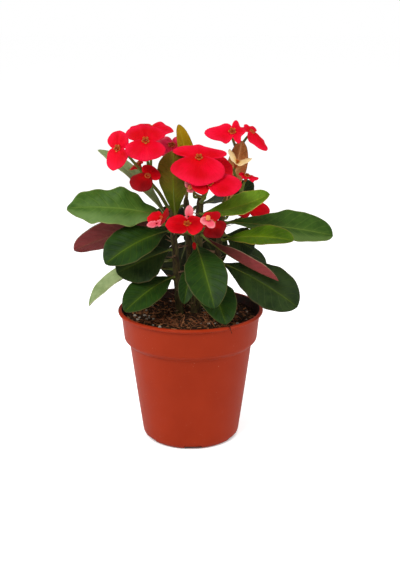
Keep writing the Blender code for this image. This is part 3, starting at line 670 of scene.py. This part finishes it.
SIDES = {"leaf_" + name: (upper, under) for upper, under, names in [  # where they aren't fresh and russet
    ("lit", "russet", "left_long"), ("open", "russet", "right_long"), ("lime", "russet", "right_small"),
    ("deep", "russet", "left_dark left_low right_behind right_top right_broad"),
    ("deep", "maroon", "left_purple right_purple right_dark"), ("deep", "shade", "back_far_left"),
    ("fresh", "shade", "back_low back_side back_left back_right"), ("fresh", "olive", "upright"),
    ("lime", "amber", "crown"), ("lime", "tan", "brown"), ("bright", "russet", "right_upper"),
    ("pale", "pale", "left_drooping"), ("pale", "russet", "left_upper"),
] for name in names.split()}

# %% The shape of one blade
ACROSS, ALONG = 26, 64
WEDGE = 1.5  # the higher, the narrower a leaf stays above its foot
POINTEDNESS = 0.62  # the higher, the more pointed its tip
PUFF = 0.16  # of the tissue between two veins
SCALLOP = 0.07  # how far the margin dips between its scallops
BLADE = 0.5  # thickness
FOOT_AT = 0.02  # where the blade starts along the leaf
ROW_SPACING = 1.3  # above 1, rows lie closer together towards the tip
SCALLOPS = 5.3  # along a margin
RIPPLES, CRINKLES = 2.5, 7  # broad and fine waves along a leaf
PETIOLE = 1.35  # radius of a leaf's own stalk where it leaves the stem


def half_width(leaf, t):
    if t < leaf.broadest:
        wedge = math.sin(math.pi / 2 * t / leaf.broadest) ** WEDGE
        return LEAF_FOOT * 0.7 + (leaf.width / 2 - LEAF_FOOT * 0.7) * wedge
    beyond = (t - leaf.broadest) / (1 - leaf.broadest)
    return leaf.width / 2 * max(0.0, 1 - beyond**2) ** POINTEDNESS + 0.12


def rib(leaf, foot, t):
    """A point of the midrib, the way across the leaf there and the way up from it."""
    tip, face = Vector(leaf.tip), Vector(leaf.face).normalized()
    chord = tip - foot
    up = (face - face.project(chord)).normalized()
    middle = (foot + tip) / 2 + up * leaf.arch * chord.length * 2
    along = (2 * (1 - t) * (middle - foot) + 2 * t * (tip - middle)).normalized()
    normal = (face - face.project(along)).normalized()
    place = (1 - t) ** 2 * foot + 2 * t * (1 - t) * middle + t**2 * tip
    return place, along.cross(normal), normal


def blade_point(leaf, foot, u, t):
    place, across, normal = rib(leaf, foot, t)
    half = half_width(leaf, t)
    scallops = 1 + math.sin(math.tau * SCALLOPS * t + leaf.height + 2 * (u > 0))
    half *= 1 - SCALLOP * (0.4 + leaf.wave) * scallops * t * (1 - t)
    fold = math.radians(leaf.fold)
    reach = abs(u) * half
    crease = math.sqrt(reach**2 + 0.6) - 0.77
    ripple = leaf.wave * u * u * math.sin(math.tau * RIPPLES * t + u)
    ripple += 0.22 * leaf.wave * abs(u) ** 3 * math.sin(math.tau * CRINKLES * t + 2 * u + leaf.height)
    slant = VEINS * t - VEIN_SLANT * abs(u)
    puff = PUFF * math.cos(math.tau * (slant + (OFFSET if u > 0 else 0))) * (abs(u) * (1 - u * u)) * 3
    groove = -0.3 * math.exp(-((u * half) / 0.9) ** 2)
    place = place + across * math.copysign(reach * math.cos(fold), u)
    return place + normal * (crease * math.sin(fold) + (ripple + puff) * min(1, half / 6) + groove)


def add_leaf(leaf, stem):
    centre, radius = stem_at(stem, leaf.height)
    straight = math.degrees(math.atan2(leaf.tip[1] - centre.y, leaf.tip[0] - centre.x))
    side = math.radians(straight if leaf.side is None else leaf.side)
    out = Vector((math.cos(side), math.sin(side), 0))
    foot = centre + out * (radius + GAP + LEAF_THICKNESS)
    bm = bmesh.new()
    across, along = marks(bm)
    bmesh.ops.create_grid(bm, x_segments=ACROSS, y_segments=ALONG, size=1)
    for vertex in bm.verts:
        u, t = vertex.co.x, FOOT_AT + (1 - FOOT_AT) * (1 - (1 - (vertex.co.y + 1) / 2) ** ROW_SPACING)
        vertex[across], vertex[along] = u, t
        vertex.co = blade_point(leaf, foot, u, t)
    bmesh.ops.recalc_face_normals(bm, faces=bm.faces)
    _, _, normal = rib(leaf, foot, 0.5)
    bm.faces.ensure_lookup_table()
    if bm.faces[len(bm.faces) // 2].normal.dot(normal) < 0:
        bmesh.ops.reverse_faces(bm, faces=bm.faces)
    upper, under = SIDES.get(leaf.name, ("fresh", "russet"))
    piece = add_piece(leaf.name + "_blade", bm, [UPPER[upper], UNDER[under]], leaf.name)
    solid = piece.modifiers.new("thickness", "SOLIDIFY")
    solid.thickness, solid.offset = BLADE * MM, 0
    solid.material_offset = 1
    bm = bmesh.new()
    across, along = marks(bm)
    path = [centre + out * radius * 0.5] + [rib(leaf, foot, t)[0] - rib(leaf, foot, t)[2] * 0.45
                                            for t in (0.0, 0.05, 0.1, 0.16, 0.24, 0.36, 0.5)]
    path = smooth_path(path, 3)
    tube(bm, path, [PETIOLE * (1 - 0.8 * k / (len(path) - 1)) for k in range(len(path))], 10)
    add_piece(leaf.name + "_stalk", bm, [petiole])
    return piece


# %% Making the leaves
stems = {stem.name: stem for stem in STEMS}
for leaf in LEAVES:
    piece = add_leaf(leaf, stems[leaf.stem])
print("leaves:", len(LEAVES))

# %% [markdown]
# ## Flower finishes
# The showy red bracts are thin coloured leaves: crimson, with a pinker bloom towards the margin, an
# orange cast at the base and fine veins that fan out. The true flower is the small cup between
# them, with five yellow-orange nectar glands.

# %% Bract, gland and cup
def bract_finish(name, deep, light, bloom, base, gloss=0.48):
    deep, light, bloom, base = (tint(*swatch) for swatch in (deep, light, bloom, base))
    bract = Finish(name, gloss, 0.05)
    across, along = bract.stored("across"), bract.stored("along")
    patch = bract.noise(14, 2, 0.5)
    fan = ((across * 13 + patch * 0.6).saw() - 0.5).size() * 2
    vein = fan.above(0.72, 1.0) * along.above(0.1, 0.4) * 0.25
    colour = bract.mix(patch.above(0.3, 0.7), deep, light)
    colour = bract.mix((along * 1.1 + patch * 0.5 - 0.5).above(0.3, 0.95) * 0.55, colour, bloom)
    colour = bract.mix((1 - along.above(0.02, 0.4)) * 0.8, colour, base)
    bract.colour(bract.mix(vein, colour, deep))
    bract.rough(gloss + patch * 0.15)
    bract.bump(fan * 0.4 + bract.noise(1.2, 3) * 0.6, 0.18)
    return bract


crimson = bract_finish("bract_crimson", (202, 0, 16), (228, 1, 38), (236, 30, 70), (216, 0, 4))
scarlet = bract_finish("bract_scarlet", (176, 0, 10), (214, 2, 16), (226, 20, 44), (206, 4, 4))
shaded = bract_finish("bract_shaded", (120, 4, 8), (166, 4, 10), (128, 30, 36), (176, 4, 4))
rose = bract_finish("bract_rose", (220, 14, 50), (232, 46, 90), (240, 128, 144), (236, 60, 40))
petal_pink = bract_finish("petal_pink", (232, 84, 104), (240, 132, 142), (244, 164, 164), (232, 60, 70))
cream = bract_finish("bract_cream", (232, 200, 134), (244, 222, 172), (234, 210, 160), (226, 176, 60))

gland = two_tone("nectar_gland", 0.35, (1.5, 3), (156, 52, 6), (212, 116, 24), (0.5, 2), 0.1)
cup = two_tone("flower_cup", 0.5, (2, 3), (150, 20, 12), (190, 96, 24), (0.6, 2), 0.1)

# %% [markdown]
# ## The flowers
# A bract is kidney-shaped and its base wraps round the cup, so the two overlap and read as one red
# disc. It is built as a fan: spokes that start under the cup and end on the kidney's outline. The
# outline is two half ellipses that meet where the bract is broadest, and a spoke's length is where
# it crosses them.

# %% Where the flowers are
CUP_DEPTH = 4.5
Flower = namedtuple("Flower", "name centre face toward length other width lift")
FLOWERS = [
    Flower("flower_left_front", (-34, -22, 251), (0.05, -0.85, 0.5), (0.0, -0.3, -0.95), 17, 13, 32, 5),
    Flower("flower_left_side", (-56, -14, 244), (-0.5, -0.8, 0.3), (0.0, -0.1, -1.0), 18, 14, 21, 10),
    Flower("flower_left_top", (-31, 5, 257), (0.0, -0.35, 0.95), (1.0, 0.0, -0.1), 18, 17, 26, 0),
    Flower("flower_left_low", (-33, -18, 223), (0.1, -0.75, 0.7), (-0.65, -0.3, -0.75), 18, 10, 18, 8),
    Flower("flower_left_back", (-42, 7, 228), (-0.6, -0.3, 0.7), (0.3, 0.2, -0.9), 8, 8, 12, 15),
    Flower("flower_middle", (-15, 17, 242), (0.0, -0.6, 0.8), (1.0, 0.0, 0.0), 12, 15, 23, 5),
    Flower("flower_centre_upper", (7, -22, 238), (0.0, -0.7, 0.7), (-0.1, -0.6, -0.8), 26, 13, 44, 0),
    Flower("flower_centre_lower", (15, -32, 220), (0.1, -0.8, 0.6), (1.0, 0.0, -0.05), 25, 15, 20, 4),
    Flower("flower_centre_back", (20, -11, 227), (0.2, -0.8, 0.6), (0.8, 0.1, 0.3), 14, 9, 24, 4),
    Flower("flower_right_front", (33, -6, 256), (0.0, -0.75, 0.65), (-1.0, 0.0, -0.1), 22, 11, 22, 0),
    Flower("flower_right_side", (49, 8, 254), (0.6, -0.35, 0.75), (0.65, -0.5, -0.6), 20, 9, 25, 0),
    Flower("flower_cream", (37, -3, 231), (0.3, -0.3, 0.85), (-0.8, 0.0, 0.6), 10, 10, 12, 40),
    Flower("flower_right_small", (45, -1, 220), (0.3, -0.2, 0.9), (1.0, 0.2, -0.4), 10, 7, 16, 5),
    Flower("flower_right_low", (49, 17, 190), (0.1, -0.7, 0.7), (1.0, 0.0, 0.0), 17, 15, 20, 0),
    Flower("flower_front", (-2, -38, 189), (0.0, -0.5, 0.87), (1.0, 0.0, 0.0), 13, 17, 22, 5),
    Flower("flower_front_right", (17, -26, 187), (0.2, -0.85, 0.5), (0.5, -0.3, -0.8), 13, 10, 22, 6),
    Flower("flower_front_left", (-23, -22, 190), (-0.5, -0.5, 0.7), (-0.8, 0.2, 0.0), 10, 10, 16, 25),
    Flower("flower_back_left", (-12, 48, 218), (-0.2, 0.6, 0.8), (-1.0, 0.0, 0.0), 16, 16, 24, 5),
    Flower("flower_back_right", (16, 46, 212), (0.3, 0.6, 0.7), (1.0, 0.1, 0.0), 15, 15, 22, 5),
]
RED = {"flower_" + name: pair for pair, names in [  # finishes of the two bracts, where they aren't crimson
    ((shaded, scarlet), "left_low front_right"), ((scarlet, shaded), "front_left"), ((rose, rose), "middle"),
    ((scarlet, scarlet), "left_back centre_back front right_low"), ((crimson, scarlet), "centre_lower"),
    ((cream, cream), "cream"),
] for name in names.split()}
FRILL = {"flower_right_front": 0.28, "flower_right_side": 0.22, "flower_left_top": 0.16,
         "flower_left_back": 0.2, "flower_centre_upper": 0.07, "flower_right_small": 0.2,
         "flower_right_low": 0.12, "flower_front_right": 0.1}
CLOSED = {"flower_right_side", "flower_left_low", "flower_front_left"}  # their glands are out of sight

# %% The shape of one flower
SPOKES, RINGS = 40, 12
WRAP = math.radians(112)  # how far a bract reaches round the cup on each side
BROAD = 0.42  # where it is broadest, as a share of its length
LOBES = 5  # of a frilled bract, in a full turn
HUB = 1.3  # radius where the two bracts meet under the cup
BRACT = 0.42  # thickness
NECTARIES, STAMENS = 5, 6


def spoke(length, width, angle):
    """How far the kidney's outline is from the cup in a direction."""
    side = math.cos(angle) * width / 2 < abs(math.sin(angle)) * BROAD * length
    a, b, c = length * (0.5 if side else 1 - BROAD), width / 2, BROAD * length
    p = (math.cos(angle) / a) ** 2 + (math.sin(angle) / b) ** 2
    q = c * math.cos(angle) / a**2
    reach = (q + math.sqrt(max(q * q - p * ((c / a) ** 2 - 1), 0))) / p
    return reach * (1 + 0.03 * math.exp(-((angle / 0.14) ** 2)) - 0.03)


def flower_matrix(flower):
    z = Vector(flower.face).normalized()
    x = Vector(flower.toward)
    x = (x - x.project(z)).normalized()
    return Matrix.Translation(Vector(flower.centre)) @ Matrix((x, z.cross(x), z)).transposed().to_4x4()


def add_bract(bm, flower, length, place, turn, level, material, swing):
    """A closed fan of the bract's two faces and its rim."""
    across, along = marks(bm)
    turned = place @ Matrix.Rotation(turn, 4, "Z")
    lift = math.radians(flower.lift)
    frill = FRILL.get(flower.name, 0)
    faces = []
    for thick in (BRACT / 2, -BRACT / 2):
        rows = []
        for i in range(SPOKES + 1):
            u = 2 * i / SPOKES - 1
            angle = u * WRAP
            points = math.cos(LOBES * angle)
            reach = max(spoke(length, flower.width, angle) * (1 - frill * (0.5 - 0.5 * points)), HUB + 0.5)
            row = []
            for k in range(RINGS + 1):
                s = k / RINGS
                r = HUB * 0.6 + (reach - HUB * 0.6) * s
                x, y = r * math.cos(angle), r * math.sin(angle)
                v, t = y / (flower.width / 2), max(x / length, 0)
                z = x * math.tan(lift) - 0.06 * length * (v * v + t * t) + level * (1 - s)
                z += 0.05 * length * s * s * math.sin(3.2 * angle + swing) + 0.32 * s * math.sin(9 * angle + swing)
                z += 0.08 * frill * length * s * s * points
                z -= 0.5 * math.exp(-((y / 0.9) ** 2)) * min(1, r / 3) * (1 - 0.5 * s)
                vertex = bm.verts.new(turned @ Vector((x, y, z + thick * (1 - 0.6 * s**4))))
                vertex[across], vertex[along] = u, s
                row.append(vertex)
            rows.append(row)
        faces.append(rows)
        for a, b in zip(rows, rows[1:]):
            for k in range(RINGS):
                quad = [a[k], b[k], b[k + 1], a[k + 1]]
                bm.faces.new(quad[::-1] if thick > 0 else quad).material_index = material
    top, low = faces
    rim = [(top[i][-1], low[i][-1]) for i in range(SPOKES + 1)]
    rim = [(top[0][k], low[0][k]) for k in range(RINGS)] + rim
    rim += [(top[-1][k], low[-1][k]) for k in range(RINGS - 1, -1, -1)]
    rim += [(top[i][0], low[i][0]) for i in range(SPOKES - 1, 0, -1)]
    for (a, b), (c, d) in zip(rim, rim[1:] + rim[:1]):
        bm.faces.new([a, c, d, b]).material_index = material


def add_cup(bm, place, rng, material, glands=True):
    profile = [(0, -CUP_DEPTH), (1.0, -CUP_DEPTH), (1.2, -3.4), (1.7, -2.2), (2.35, -1), (2.6, 0.1),
               (2.5, 0.9), (2.1, 1.2), (1.5, 0.7), (0.9, 0.4), (0, 0.3)]
    lathe(bm, profile, 24, place, material + 1)
    if not glands:
        return
    for k in range(NECTARIES):
        angle = math.tau * k / NECTARIES + rng.uniform(-0.15, 0.15)
        spot = place @ Vector((2.6 * math.cos(angle), 2.6 * math.sin(angle), 1.25))
        turn = place.to_3x3() @ Matrix.Rotation(angle, 3, "Z")
        blob(bm, spot, (0.55, 1.0, 0.4), turn, 2, 0.3, material)
    for k in range(STAMENS):
        angle = math.tau * k / STAMENS + rng.uniform(-0.4, 0.4)
        lean = Vector((0.9 * math.cos(angle), 0.9 * math.sin(angle), 0))
        path = [place @ (lean * out + Vector((0, 0, up))) for out, up in ((0.5, 0.4), (1, 1.5), (1.3, 2.2))]
        tube(bm, path, [0.22, 0.2, 0.18], 5, material + 1)
        blob(bm, path[-1], (0.42, 0.42, 0.34), Matrix.Identity(3), 1, 0.2, material)


rng = random.Random(23)
flowers = {flower.name: flower for flower in FLOWERS}
for flower in FLOWERS:
    bm = bmesh.new()
    marks(bm)
    place = flower_matrix(flower)
    finishes = RED.get(flower.name, (crimson, crimson))
    add_bract(bm, flower, flower.length, place, 0.0, 0.5, 0, rng.uniform(0, math.tau))
    add_bract(bm, flower, flower.other, place, math.pi, -0.1, 1, rng.uniform(0, math.tau))
    add_cup(bm, place, rng, 2, flower.name not in CLOSED)
    bmesh.ops.recalc_face_normals(bm, faces=bm.faces)
    add_piece(flower.name + "_bracts", bm, [*finishes, gland, cup], flower.name)
print("flowers:", len(FLOWERS))

# %% [markdown]
# ## The flower stalks
# A flower stalk forks once or twice on its way up, is round and olive green, and swells where it
# forks. Tubes that only cross would leave hard creases and hidden walls, so the crossing tubes of
# one stalk are fused by a voxel remesh and then smoothed, which leaves one closed skin.

# %% Stalk finish
stalk_green = Finish("stalk_green", 0.5)
blush = stalk_green.noise(14, 3, seed=8)
olive = stalk_green.mix(stalk_green.noise(2.5, 3), tint(80, 92, 26), tint(116, 128, 50))
stalk_green.colour(stalk_green.mix(blush.above(0.45, 0.75), olive, tint(120, 84, 44)))
stalk_green.bump(stalk_green.noise(1.2, 3, stretch=(1, 1, 0.3)), 0.15)

# %% Where the stalks run
STALK_RADIUS = 1.5
Cyme = namedtuple("Cyme", "name stem height side trunk flowers buds")
CYMES = [
    Cyme("flower_stalk_left", "stem_left", 193, 120, [(-25, 6, 205), (-32, 4, 214)],
         ["flower_left_front", "flower_left_side", "flower_left_top", "flower_left_low",
          "flower_left_back"], []),
    Cyme("flower_stalk_middle", "stem_left", 193, 50, [(-10, 9, 205)], ["flower_middle"], []),
    Cyme("flower_stalk_centre", "stem_main", 200, 280, [(11, -14, 205)],
         ["flower_centre_upper", "flower_centre_lower", "flower_centre_back"], [(0, -20, 213)]),
    Cyme("flower_stalk_top_right", "stem_right", 195, 90, [(32, 17, 208), (38, 18, 226), (38, 15, 238)],
         ["flower_right_front", "flower_right_side"], []),
    Cyme("flower_stalk_right", "stem_right", 190, 345, [(38, 1, 201), (41, 1, 207)],
         ["flower_cream", "flower_right_small"], []),
    Cyme("flower_stalk_low_right", "stem_right", 179, 45, [(38, 17, 180)], ["flower_right_low"], []),
    Cyme("flower_stalk_front", "stem_main", 176, 255, [(2, -16, 176)],
         ["flower_front", "flower_front_right", "flower_front_left"], [(14, -39, 193), (3, -30, 173)]),
    Cyme("flower_stalk_back", "stem_back", 194, 90, [(-3, 40, 202)],
         ["flower_back_left", "flower_back_right"], []),
]


def branch_path(fork, flower):
    face = Vector(flower.face).normalized()
    foot = Vector(flower.centre) - face * (CUP_DEPTH - 0.2)
    before = foot - face * 3
    return [*smooth_path([fork, (fork + before) / 2 - face, before], 5), foot]


def even(path, wide, narrow):
    return [wide + (narrow - wide) * i / (len(path) - 1) for i in range(len(path))]


VOXEL = 0.35
for cyme in CYMES:
    centre, radius = stem_at(stems[cyme.stem], cyme.height)
    side = math.radians(cyme.side)
    out = Vector((math.cos(side), math.sin(side), 0))
    foot = centre + out * (radius + GAP)
    trunk = [centre + out * radius * 0.6, foot, *smooth_path([foot + out * 2.5, *cyme.trunk], 6)]
    bm = bmesh.new()
    tube(bm, trunk, even(trunk, STALK_RADIUS * 1.05, STALK_RADIUS * 0.95), 12)
    fork = trunk[-1]
    blob(bm, fork, (2.0, 2.0, 2.0), detail=2)
    for name in cyme.flowers:
        path = branch_path(fork, flowers[name])
        tube(bm, path, even(path, STALK_RADIUS * 0.92, STALK_RADIUS * 0.7), 12)
    for bud in cyme.buds:
        path = smooth_path([fork, (fork + Vector(bud)) / 2 + Vector((0, 0, -1)), Vector(bud)], 5)
        tube(bm, path, even(path, STALK_RADIUS * 0.8, STALK_RADIUS * 0.6), 12)
    bmesh.ops.recalc_face_normals(bm, faces=bm.faces)
    piece = add_piece(cyme.name + "_skin", bm, [stalk_green], cyme.name)
    fuse = piece.modifiers.new("fuse", "REMESH")
    fuse.mode, fuse.voxel_size, fuse.use_smooth_shade = "VOXEL", VOXEL * MM, True
    soften = piece.modifiers.new("soften", "SMOOTH")
    soften.factor, soften.iterations = 0.5, 6
print("stalks:", len(CYMES))

# %% [markdown]
# ## Buds
# Unopened flowers are small red or pink drops on their own short stalks. Each is a pointed, lathed
# drop with two bracts still pressed together, drawn by a groove down its sides.

# %% Bud drops
def add_bud(name, place, direction, length, radius, finish):
    bm = bmesh.new()
    across, along = marks(bm)
    turn = Matrix.Translation(Vector(place)) @ toward(Vector(direction)).to_4x4()
    profile = [(0, -0.5)] + [(radius * math.sin(math.pi * s) ** 0.7 * (1 - 0.35 * s) + 0.04, length * s)
                             for s in [k / 14 for k in range(1, 14)]] + [(0, length)]
    for k, ring in enumerate(lathe(bm, profile, 20, turn)):
        for i, vertex in enumerate(ring):
            vertex[along] = k / 14
            vertex[across] = 2 * i / len(ring) - 1
            axis = turn @ Vector((0, 0, profile[k][1]))
            vertex.co += (axis - vertex.co) * 0.22 * abs(math.cos(math.tau * i / max(len(ring), 2))) ** 6
    bmesh.ops.recalc_face_normals(bm, faces=bm.faces)
    add_piece(name, bm, [finish])


apricot = two_tone("bud_apricot", 0.5, (3, 3), (204, 116, 52), (232, 160, 96), (1, 2), 0.1, shine=0.1)
for cyme in CYMES:
    for k, bud in enumerate(cyme.buds):
        if bud[2] < cyme.trunk[-1][2]:
            add_bud(f"{cyme.name}_bud_{k}", bud, (0.1, -0.5, -0.8), 6.5, 2.3, shaded)
        else:
            add_bud(f"{cyme.name}_bud_{k}", bud, (0.0, -0.7, 0.7), 5.0, 2.6, apricot)

# %% Flowers that are just opening: small pale petals, each with its length and its turn in degrees
Opening = namedtuple("Opening", "name centre face toward width lift petals")
OPENING = [
    Opening("opening_bud_front", (14, -39.5, 192.5), (0.1, -0.85, 0.5), (-1, 0, 0.1), 7, 20, [(6.5, 20), (8, 125)]),
    Opening("opening_bud_middle", (-1, -29, 193), (0.0, -0.85, 0.4), (0.1, 0.1, 1), 7, 15, [(9, 0), (6, 160)]),
    Opening("opening_bud_left", (-26, -26, 187), (-0.2, -0.8, 0.5), (-1, 0, -0.15), 6, 10, [(8, 0), (5, 180)]),
    Opening("opening_bud_centre", (0, -20, 214), (0.0, -0.7, 0.7), (0.2, 0, -1), 7, 30, [(7, 0), (7, 180)]),
]
for opening in OPENING:
    bm = bmesh.new()
    marks(bm)
    for k, (length, turn) in enumerate(opening.petals):
        add_bract(bm, opening, length, flower_matrix(opening), math.radians(turn), 0.2 * k, 0, 2.0 * k)
    bmesh.ops.recalc_face_normals(bm, faces=bm.faces)
    add_piece(opening.name, bm, [petal_pink])
print("buds made, opening:", len(OPENING))

# %% [markdown]
# ## Floor, light and camera
# The plant stands on a plain white floor under broad soft light: large lamps from above and
# both sides keep the shadows open, and a pale world fills the rest. The camera looks slightly down
# from the front.

# %% Floor
HORIZON = 12  # half the floor's side, in metres
floor_finish = Finish("white_floor", 0.95, shine=0.0)
floor_finish.colour(floor_finish.mix(floor_finish.noise(60, 3), (0.90, 0.90, 0.90), (0.94, 0.94, 0.94)))
floor_finish.bump(floor_finish.noise(2, 2), 0.02)
flat = floor_finish.node("VectorMath", {"operation": "MULTIPLY"}, {0: floor_finish.here, 1: (1, 1, 0)})
from_axis = floor_finish.node("VectorMath", {"operation": "LENGTH"}, {0: flat}, "Value")
seen = floor_finish.node("LightPath", {}, {}, "Is Camera Ray")
# The floor glows evenly for camera rays, except within 35 to 42 mm of the pot's axis: that dark disc is a painted
# shadow under the pot, seen through the notches
floor_finish.plug(floor_finish.shader.inputs["Emission Color"],
                  floor_finish.mix(from_axis.above(35, 42) * seen, (0, 0, 0), (1, 1, 1)))
floor_finish.shader.inputs["Emission Strength"].default_value = 0.58
mesh = bpy.data.meshes.new("floor")
bm = bmesh.new()
bmesh.ops.create_grid(bm, x_segments=2, y_segments=2, size=HORIZON)
bm.to_mesh(mesh)
bm.free()
mesh.materials.append(floor_finish.material)
floor = link(bpy.data.objects.new("floor", mesh))

# %% Light
ZENITH, HAZE = 0.62, 0.12  # how bright the sky light is straight up, and at the horizon
world = bpy.data.worlds.new("studio")
bpy.context.scene.world = world
world.use_nodes = True
sky = world.node_tree.nodes
links = world.node_tree.links
ray, direction = sky.new("ShaderNodeLightPath"), sky.new("ShaderNodeTexCoord")
parts, ramp, swap = sky.new("ShaderNodeSeparateXYZ"), sky.new("ShaderNodeMapRange"), sky.new("ShaderNodeMix")
links.new(direction.outputs["Generated"], parts.inputs[0])
links.new(parts.outputs["Z"], ramp.inputs["Value"])
ramp.inputs["To Min"].default_value, ramp.inputs["To Max"].default_value = HAZE, ZENITH
links.new(ray.outputs["Is Camera Ray"], swap.inputs[0])
links.new(ramp.outputs[0], swap.inputs[2])
swap.inputs[3].default_value = 1.0
links.new(swap.outputs[0], sky["Background"].inputs["Strength"])
sky["Background"].inputs["Color"].default_value = (1, 1, 1, 1)


def add_lamp(name, place, size, power, aim=(0, 0, 0.14)):
    lamp = bpy.data.lights.new(name, "AREA")
    lamp.shape, lamp.size, lamp.energy = "DISK", size, power
    obj = link(bpy.data.objects.new(name, lamp))
    obj.location = place
    obj.rotation_euler = (Vector(aim) - Vector(place)).to_track_quat("-Z", "Y").to_euler()


add_lamp("key", (-0.55, -0.85, 1.15), 0.7, 12)
add_lamp("right", (1.0, -0.35, 0.6), 0.6, 5)
add_lamp("left", (-1.1, 0.0, 0.5), 0.6, 4)
bpy.context.scene.view_settings.view_transform = "Standard"

# %% Camera
camera_data = bpy.data.cameras.new("camera")
camera_data.sensor_width = 36
camera_data.lens = 60.63
camera = link(bpy.data.objects.new("camera", camera_data))
camera.location = (0.0078, -0.76, 0.349)
camera.rotation_euler = (Vector((0.0078, 0, 0.1295)) - camera.location).to_track_quat("-Z", "Y").to_euler()
bpy.context.scene.camera = camera
